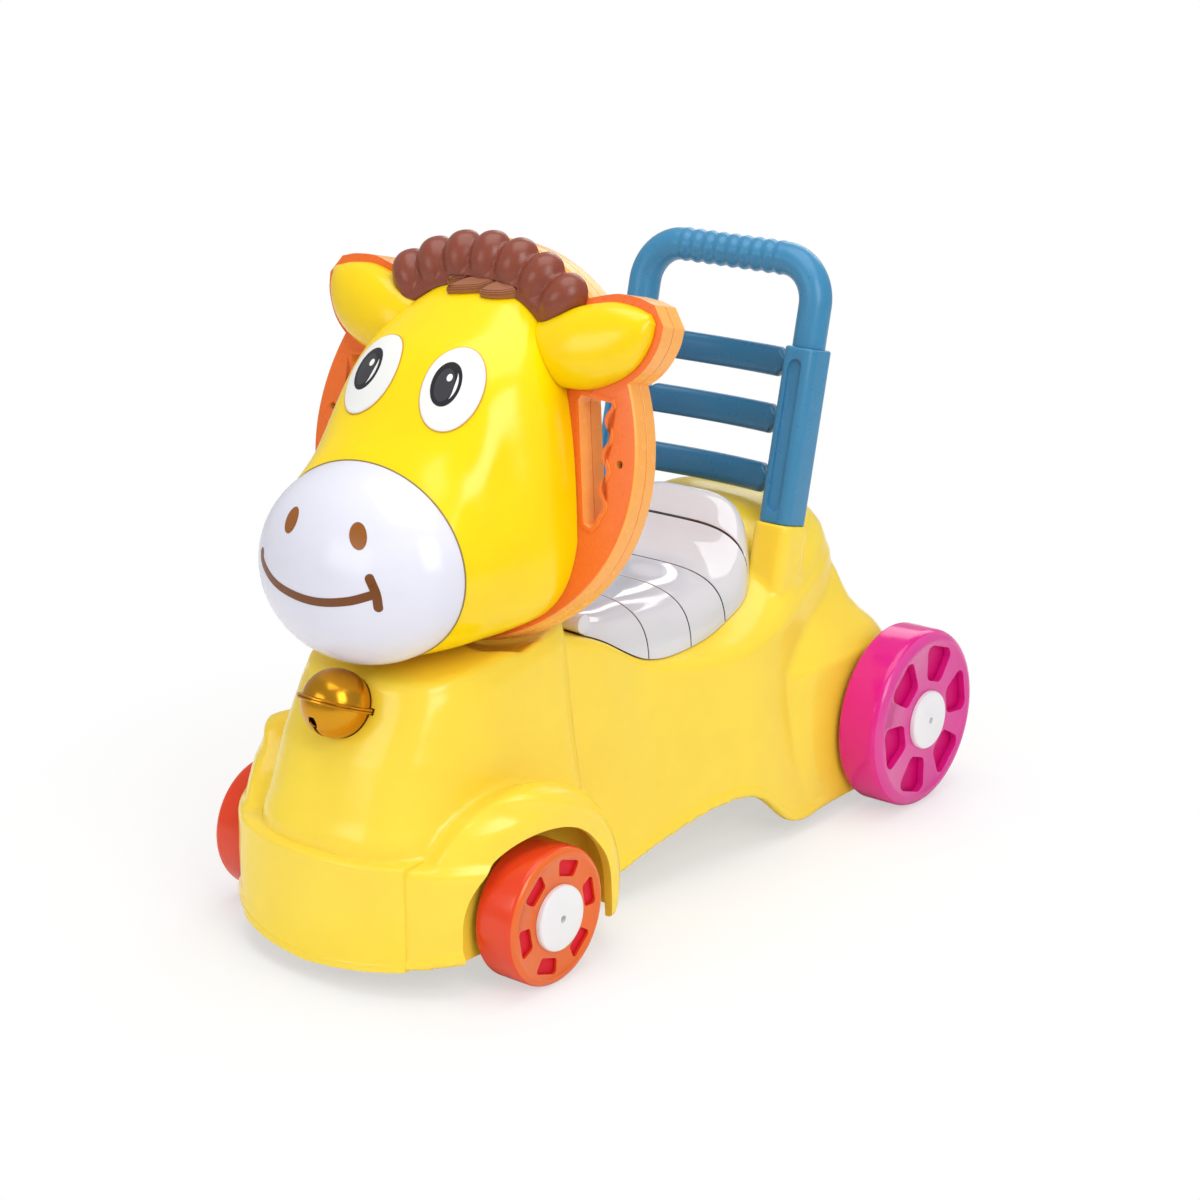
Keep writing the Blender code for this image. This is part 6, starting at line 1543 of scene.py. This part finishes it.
class PONY_OT_handle(bpy.types.Operator):
    """Makes the push handle: a U tube with a ridged grip, its two sleeves and the rungs between them."""

    bl_idname = "pony.handle"
    bl_label = "Push handle"

    def execute(self, context):
        blue = plastic("handle blue", colours().handle, 0.3)
        deep = plastic("rung blue", colours().rung, 0.3)
        bar = self.tube("handle_bar_skin")
        spigots = []
        for side, word in SIDES:
            low, high = SLEEVE_LENGTH - 0.04, SLEEVE_LENGTH + 0.002
            spigots.append(rod(f"spigot_{word}", SPIGOT_RADIUS, low, high, handle_frame(side)))
        combined(bar, spigots, "UNION")
        finished(bar, "base", [blue], ["handle_bar"])
        for side, word in SIDES:
            finished(self.sleeve(side, word), "base", [blue, deep], [f"sleeve_{word}"])
        for name, height in zip(("rung_lower", "rung_middle", "rung_upper"), RUNG_HEIGHTS):
            finished(self.rung(name, height), "base", [deep], [name])
        return {"FINISHED"}

    def tube(self, name):
        """A tube along the U's middle line, whose grip adds ridge cos(phase + 2 sin(t)) to the radius."""
        size_of = sizes()
        turn = np.linspace(0, math.pi / 2, 24)
        corner_x = HANDLE_LEG_X - HANDLE_CORNER + HANDLE_CORNER * np.cos(turn)
        corner_z = HANDLE_HEIGHT - HANDLE_CORNER + HANDLE_CORNER * np.sin(turn)
        leg = np.linspace(SLEEVE_LENGTH + SKIN_GAP, corner_z[0], 4, endpoint=False)
        straight = np.column_stack([np.full(4, HANDLE_LEG_X), leg])
        right = np.vstack([straight, np.column_stack([corner_x, corner_z])])
        grip = np.linspace(corner_x[-1], -corner_x[-1], 200)[1:-1]
        top = np.column_stack([grip, np.full(len(grip), HANDLE_HEIGHT)])
        path = np.vstack([right, top, right[::-1] * np.array([-1, 1])])
        run = np.gradient(path, axis=0)
        run /= np.linalg.norm(run, axis=1)[:, None]
        around = np.arange(48) * 2 * math.pi / 48
        on_grip = np.clip((GRIP_HALF_LENGTH - np.abs(path[:, 0])) / 0.006, 0, 1)
        on_grip = on_grip * (path[:, 1] > HANDLE_HEIGHT - 1e-6)
        phase = path[:, 0] / GRIP_HALF_LENGTH * size_of.ridge_count * math.pi
        ridge = size_of.ridge_height * on_grip[:, None] * np.cos(phase[:, None] + 2 * np.sin(around))
        radius = size_of.tube_radius + ridge
        rings = np.stack([
            path[:, :1] - run[:, 1:] * radius * np.cos(around),
            radius * np.sin(around),
            path[:, 1:] + run[:, :1] * radius * np.cos(around),
        ], axis=-1)
        return surface(name, placed(rings, handle_frame()))

    def sleeve(self, side, word):
        """A rounded box with soft ends and a long slot in its front."""
        here = handle_frame(side)
        half_x, half_y = SLEEVE_SIZE[0] / 2, SLEEVE_SIZE[1] / 2
        outline = rounded_box(half_x, half_y, SLEEVE_CORNER, arc=10)
        rings = []
        foot, top = SLEEVE_EDGES
        for angle in np.linspace(0, math.pi / 2, 5):
            edge = offset_outline(outline, -foot * (1 - math.sin(angle)))
            rings.append(level(edge, foot * (1 - math.cos(angle))))
        for angle in np.linspace(math.pi / 2, 0, 6):
            edge = offset_outline(outline, -top * (1 - math.sin(angle)))
            rings.append(level(edge, SLEEVE_LENGTH - top * (1 - math.cos(angle))))
        sleeve = surface(f"sleeve_{word}_skin", placed(rings, here))
        combined(sleeve, [rod("tenon", TENON_RADIUS, -0.022, 0.002, here)], "UNION")
        slot = rounded_box(0.0065, SLEEVE_LENGTH / 2 - 0.010, 0.0063, (0, SLEEVE_LENGTH / 2), arc=12)
        front = here @ Matrix(((1, 0, 0, 0), (0, 0, 1, 0), (0, 1, 0, 0), (0, 0, 0, 1)))
        cuts = [prism("slot", slot, -half_y - 0.01, -half_y + 0.003, front)]
        cuts.append(rod("bore", SLEEVE_BORE_RADIUS, 0.006, SLEEVE_LENGTH + 0.01, here))
        for number, height in enumerate(RUNG_HEIGHTS):
            low, high = sorted((-side * (half_x + 0.01), -side * (half_x - 0.0038)))
            cuts.append(rod(f"rung_seat_{number}", RUNG_SEAT_RADIUS, low, high, here @ along_x(0, height)))
        combined(sleeve, cuts, "DIFFERENCE")
        return softened(sleeve, 0.0006)

    def rung(self, name, height):
        """A flat bar that bows back: its section's two radii grow from the ends to the middle."""
        end = HANDLE_LEG_X - SLEEVE_SIZE[0] / 2
        x = np.concatenate([[-end - 0.0035], np.linspace(-end, end, 80), [end + 0.0035]])
        share = np.clip((end - 0.004 - np.abs(x)) / 0.009, 0, 1)
        share = share**2 * (3 - 2 * share)
        deep, tall = (RUNG_END + (middle - RUNG_END) * share for middle in RUNG_MIDDLE)
        bow = RUNG_BOW * np.maximum(0, 1 - (x / (end - 0.005)) ** 2)
        turn = np.arange(40) * 2 * math.pi / 40
        rings = np.stack([
            np.repeat(x[:, None], 40, axis=1),
            bow[:, None] + np.outer(deep, signed_power(np.cos(turn), 0.75)),
            height + np.outer(tall, signed_power(np.sin(turn), 0.75)),
        ], axis=-1)
        return surface(f"{name}_skin", placed(rings, handle_frame()))


# Materials


def grain_group():
    """Slow colour drift, finer roughness drift and a mould's faint grain, all from object coordinates."""
    name = "moulded grain"
    if name in bpy.data.node_groups:
        return bpy.data.node_groups[name]
    group = bpy.data.node_groups.new(name, "ShaderNodeTree")
    sockets = group.interface.new_socket
    sockets("Colour", in_out="INPUT", socket_type="NodeSocketColor")
    sockets("Roughness", in_out="INPUT", socket_type="NodeSocketFloat")
    sockets("Colour", in_out="OUTPUT", socket_type="NodeSocketColor")
    sockets("Roughness", in_out="OUTPUT", socket_type="NodeSocketFloat")
    sockets("Normal", in_out="OUTPUT", socket_type="NodeSocketVector")
    make, link = group.nodes.new, group.links.new
    given, result = make("NodeGroupInput"), make("NodeGroupOutput")
    where = make("ShaderNodeTexCoord")
    drift, wear, grain = (make("ShaderNodeTexNoise") for _ in range(3))
    for noise, scale, detail in ((drift, 14.0, 3.0), (wear, 120.0, 5.0), (grain, 1400.0, 2.0)):
        noise.inputs["Scale"].default_value = scale
        noise.inputs["Detail"].default_value = detail
        link(where.outputs["Object"], noise.inputs["Vector"])
    tone = make("ShaderNodeMapRange")
    tone.inputs["From Min"].default_value, tone.inputs["From Max"].default_value = 0.3, 0.7
    tone.inputs["To Min"].default_value, tone.inputs["To Max"].default_value = 0.965, 1.035
    link(drift.outputs["Fac"], tone.inputs["Value"])
    shade = make("ShaderNodeVectorMath")
    shade.operation = "SCALE"
    link(given.outputs["Colour"], shade.inputs[0])
    link(tone.outputs["Result"], shade.inputs["Scale"])
    link(shade.outputs["Vector"], result.inputs["Colour"])
    rub = make("ShaderNodeMapRange")
    rub.inputs["From Min"].default_value, rub.inputs["From Max"].default_value = 0.35, 0.75
    rub.inputs["To Min"].default_value, rub.inputs["To Max"].default_value = -0.03, 0.05
    link(wear.outputs["Fac"], rub.inputs["Value"])
    rough = make("ShaderNodeMath")
    link(given.outputs["Roughness"], rough.inputs[0])
    link(rub.outputs["Result"], rough.inputs[1])
    link(rough.outputs["Value"], result.inputs["Roughness"])
    bump = make("ShaderNodeBump")
    bump.inputs["Strength"].default_value = 0.04
    bump.inputs["Distance"].default_value = 0.0002
    link(grain.outputs["Fac"], bump.inputs["Height"])
    link(bump.outputs["Normal"], result.inputs["Normal"])
    return group


def surfaced(name, tint, roughness):
    """A material that passes through the moulded grain, and its shader, or nothing if it was made before."""
    if name in bpy.data.materials:
        return bpy.data.materials[name], None
    made = bpy.data.materials.new(name)
    made.use_nodes = True
    made.diffuse_color = (*tint, 1.0)
    nodes, links = made.node_tree.nodes, made.node_tree.links
    shader = nodes["Principled BSDF"]
    grain = nodes.new("ShaderNodeGroup")
    grain.node_tree = grain_group()
    grain.inputs["Colour"].default_value = (*tint, 1.0)
    grain.inputs["Roughness"].default_value = roughness
    links.new(grain.outputs["Colour"], shader.inputs["Base Color"])
    links.new(grain.outputs["Roughness"], shader.inputs["Roughness"])
    links.new(grain.outputs["Normal"], shader.inputs["Normal"])
    return made, shader


def plastic(name, tint, roughness, coat=0.0, shine=0.5):
    """Moulded plastic: light enters it a little way, and it may have a clear coat."""
    made, shader = surfaced(name, tint, roughness)
    if shader:
        shader.inputs["IOR"].default_value = 1.46
        shader.inputs["Specular IOR Level"].default_value = shine
        shader.inputs["Subsurface Weight"].default_value = 0.12
        shader.inputs["Subsurface Radius"].default_value = (0.004, 0.003, 0.002)
        shader.inputs["Coat Weight"].default_value = coat
        shader.inputs["Coat Roughness"].default_value = 0.04
    return made


def painted_groove_shade(made, places, half):
    """Paints shade into a material: dark lines at these places on the object's Y axis, where the lid's
    grooves run.
    """
    nodes, link = made.node_tree.nodes, made.node_tree.links.new
    shader = nodes["Principled BSDF"]
    where = nodes.new("ShaderNodeTexCoord")
    apart = nodes.new("ShaderNodeSeparateXYZ")
    link(where.outputs["Object"], apart.inputs[0])
    total = None
    for place in places:
        near = nodes.new("ShaderNodeMath")
        near.operation = "COMPARE"
        near.inputs[1].default_value = place
        near.inputs[2].default_value = half
        link(apart.outputs["Y"], near.inputs[0])
        if total:
            both = nodes.new("ShaderNodeMath")
            both.operation = "MAXIMUM"
            link(total, both.inputs[0])
            link(near.outputs["Value"], both.inputs[1])
            total = both.outputs["Value"]
        else:
            total = near.outputs["Value"]
    mix = nodes.new("ShaderNodeMix")
    mix.data_type = "RGBA"
    mix.inputs["B"].default_value = (0.03, 0.03, 0.035, 1.0)
    plain_colour = shader.inputs["Base Color"].links[0].from_socket
    link(total, mix.inputs["Factor"])
    link(plain_colour, mix.inputs["A"])
    link(mix.outputs["Result"], shader.inputs["Base Color"])


def paint(name, tint, roughness=0.3):
    """Printed colour without depth."""
    return surfaced(name, tint, roughness)[0]


def metal(name, tint, roughness):
    """Coloured metal with a thin haze."""
    made, shader = surfaced(name, tint, roughness)
    if shader:
        shader.inputs["Metallic"].default_value = 0.85
    return made


SLOT_LOOKS = (
    ("body_yellow", "body", 0.26),
    ("head_yellow", "head", 0.22),
    ("muzzle_white", "muzzle", 0.22),
    ("mane_brown", "mane", 0.3),
    ("disc_orange", "disc", 0.28),
    # The wheels' solids take the same lit face colour and painted shade inside as the finished wheels.
    ("front_wheel_red", "front_lit_face", 0.3),
    ("front_wheel_back_red", "front_back", 0.35),
    ("rear_wheel_pink", "rear_lit_face", 0.3),
    ("rear_wheel_back_pink", "rear_back", 0.35),
    ("cap_white", "cap", 0.22),
    ("handle_blue", "handle", 0.3),
    ("seat_white", "seat", 0.12),
)


class PONY_OT_looks(bpy.types.Operator):
    """Gives the solids that stay in view the same plastics and metals as the finished surfaces."""

    bl_idname = "pony.looks"
    bl_label = "Materials of the solids"

    def execute(self, context):
        looks = {}
        for slot, tint, rough in SLOT_LOOKS:
            looks[slot] = plastic(f"{slot} solid", getattr(colours(), tint), rough)
        looks["bell_gold"] = metal("bell_gold solid", colours().bell, 0.3)
        looks["steel"] = metal("steel solid", colours().steel, 0.35)
        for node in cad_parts.values():
            slots = node.material_slots
            named = slots[0].material.name if slots and slots[0].material else ""
            found = [slot for slot in looks if slot in named]
            if node.name.startswith("swivel_post"):
                look = looks["body_yellow"]
            else:
                look = looks[found[0]] if found else looks["steel"]
            for place in slots:
                place.material = look
            if not slots:
                node.data.materials.append(looks["steel"])
        return {"FINISHED"}


# Stage


def area_light(name, place, target, width, height, power):
    """A rectangular lamp at a place, turned to its target."""
    data = bpy.data.lights.new(name, "AREA")
    data.shape = "RECTANGLE"
    data.size, data.size_y = width, height
    data.energy = power
    lamp = bpy.data.objects.new(name, data)
    lamp.location = place
    lamp.rotation_euler = (Vector(target) - Vector(place)).to_track_quat("-Z", "Y").to_euler()
    bpy.context.scene.collection.objects.link(lamp)


class PONY_OT_stage(bpy.types.Operator):
    """Sets the camera of the photograph, a white floor and soft light."""

    bl_idname = "pony.stage"
    bl_label = "Floor, light and camera"

    def execute(self, context):
        scene = context.scene
        camera = bpy.data.objects.new("camera", bpy.data.cameras.new("camera"))
        camera.data.lens = CAMERA_LENS
        camera.data.sensor_width = 36.0
        camera.location = CAMERA_PLACE
        camera.rotation_euler = Vector(CAMERA_AIM).to_track_quat("-Z", "Y").to_euler()
        scene.collection.objects.link(camera)
        scene.camera = camera
        floor = self.floor()
        area_light("key", (1.7, -0.9, 1.5), (0, -0.1, 0.25), 0.9, 1.3, 17)
        area_light("front", (-0.6, -2.2, 1.1), (0, -0.1, 0.25), 1.2, 0.9, 8)
        area_light("top", (0.1, -0.1, 2.2), (0, 0, 0.2), 1.8, 1.8, 24)
        area_light("back", (-0.6, 2.0, 1.4), (0, 0, 0.3), 1.6, 1.0, 10)
        world = bpy.data.worlds.new("white room")
        world.use_nodes = True
        world.node_tree.nodes["Background"].inputs["Color"].default_value = (1, 1, 1, 1)
        world.node_tree.nodes["Background"].inputs["Strength"].default_value = 0.45
        scene.world = world
        scene.view_settings.view_transform = "Standard"
        return {"FINISHED"}

    def floor(self):
        """A sheet that runs back and curves up: y and z follow a quarter circle between two flats."""
        angle = np.linspace(-math.pi / 2, 0, 24)
        y = np.concatenate([[-6.0], 3.0 + 1.5 * np.cos(angle), [4.5]])
        z = np.concatenate([[0.0], 1.5 + 1.5 * np.sin(angle), [7.0]])
        x = np.linspace(-6.0, 6.0, 3)
        grid = np.stack(np.broadcast_arrays(x[None], y[:, None], z[:, None]), -1)
        index = np.arange(len(y) * 3).reshape(-1, 3)
        corners = [index[:-1, :-1], index[:-1, 1:], index[1:, 1:], index[1:, :-1]]
        quads = np.stack(corners, -1).reshape(-1, 4)
        mesh = bpy.data.meshes.new("floor")
        mesh.from_pydata(grid.reshape(-1, 3).tolist(), [], quads.tolist())
        mesh.shade_smooth()
        floor = bpy.data.objects.new("floor", mesh)
        bpy.context.scene.collection.objects.link(floor)
        floor.data.materials.append(self.floor_finish())
        return floor

    def floor_finish(self):
        """A pale matt floor that turns to plain white for the camera with the distance from the toy."""
        made = bpy.data.materials.new("floor white")
        made.use_nodes = True
        nodes, link = made.node_tree.nodes, made.node_tree.links.new
        shader = nodes["Principled BSDF"]
        shader.inputs["Base Color"].default_value = (0.92, 0.92, 0.92, 1)
        shader.inputs["Roughness"].default_value = 0.8
        shader.inputs["Specular IOR Level"].default_value = 0.1
        white = nodes.new("ShaderNodeEmission")
        where = nodes.new("ShaderNodeTexCoord")
        length = nodes.new("ShaderNodeVectorMath")
        length.operation = "LENGTH"
        link(where.outputs["Object"], length.inputs[0])
        far = nodes.new("ShaderNodeMapRange")
        far.interpolation_type = "SMOOTHSTEP"
        far.inputs["From Min"].default_value = 0.30
        far.inputs["From Max"].default_value = 0.62
        far.inputs["To Min"].default_value = 0.55
        link(length.outputs["Value"], far.inputs["Value"])
        ray = nodes.new("ShaderNodeLightPath")
        both = nodes.new("ShaderNodeMath")
        both.operation = "MULTIPLY"
        link(far.outputs["Result"], both.inputs[0])
        link(ray.outputs["Is Camera Ray"], both.inputs[1])
        mix = nodes.new("ShaderNodeMixShader")
        link(both.outputs["Value"], mix.inputs["Fac"])
        link(shader.outputs["BSDF"], mix.inputs[1])
        link(white.outputs["Emission"], mix.inputs[2])
        link(mix.outputs["Shader"], nodes["Material Output"].inputs["Surface"])
        return made


CLASSES = (
    PonySizes,
    PonyColours,
    PONY_OT_looks,
    PONY_OT_body,
    PONY_OT_lid,
    PONY_OT_head,
    PONY_OT_muzzle,
    PONY_OT_eyes,
    PONY_OT_forelock,
    PONY_OT_ears,
    PONY_OT_mane,
    PONY_OT_disc,
    PONY_OT_wheels,
    PONY_OT_bell,
    PONY_OT_handle,
    PONY_OT_stage,
)
OPERATORS = [made for made in CLASSES if issubclass(made, bpy.types.Operator)]


class PONY_PT_panel(bpy.types.Panel):
    """Lists the sizes, colours and operators of the pony scooter."""

    bl_label = "Pony scooter"
    bl_idname = "PONY_PT_panel"
    bl_space_type = "VIEW_3D"
    bl_region_type = "UI"
    bl_category = "Pony"

    def draw(self, context):
        for group in (context.scene.pony_sizes, context.scene.pony_colours):
            box = self.layout.box()
            for name in group.__annotations__:
                box.prop(group, name)
        for made in OPERATORS:
            self.layout.operator(made.bl_idname)


def register():
    for made in (*CLASSES, PONY_PT_panel):
        bpy.utils.register_class(made)
    bpy.types.Scene.pony_sizes = PointerProperty(type=PonySizes)
    bpy.types.Scene.pony_colours = PointerProperty(type=PonyColours)


def unregister():
    del bpy.types.Scene.pony_colours
    del bpy.types.Scene.pony_sizes
    for made in reversed((*CLASSES, PONY_PT_panel)):
        bpy.utils.unregister_class(made)


def main():
    register()
    for made in OPERATORS:
        getattr(bpy.ops.pony, made.bl_idname.split(".")[1])()


if __name__ == "__main__":
    main()
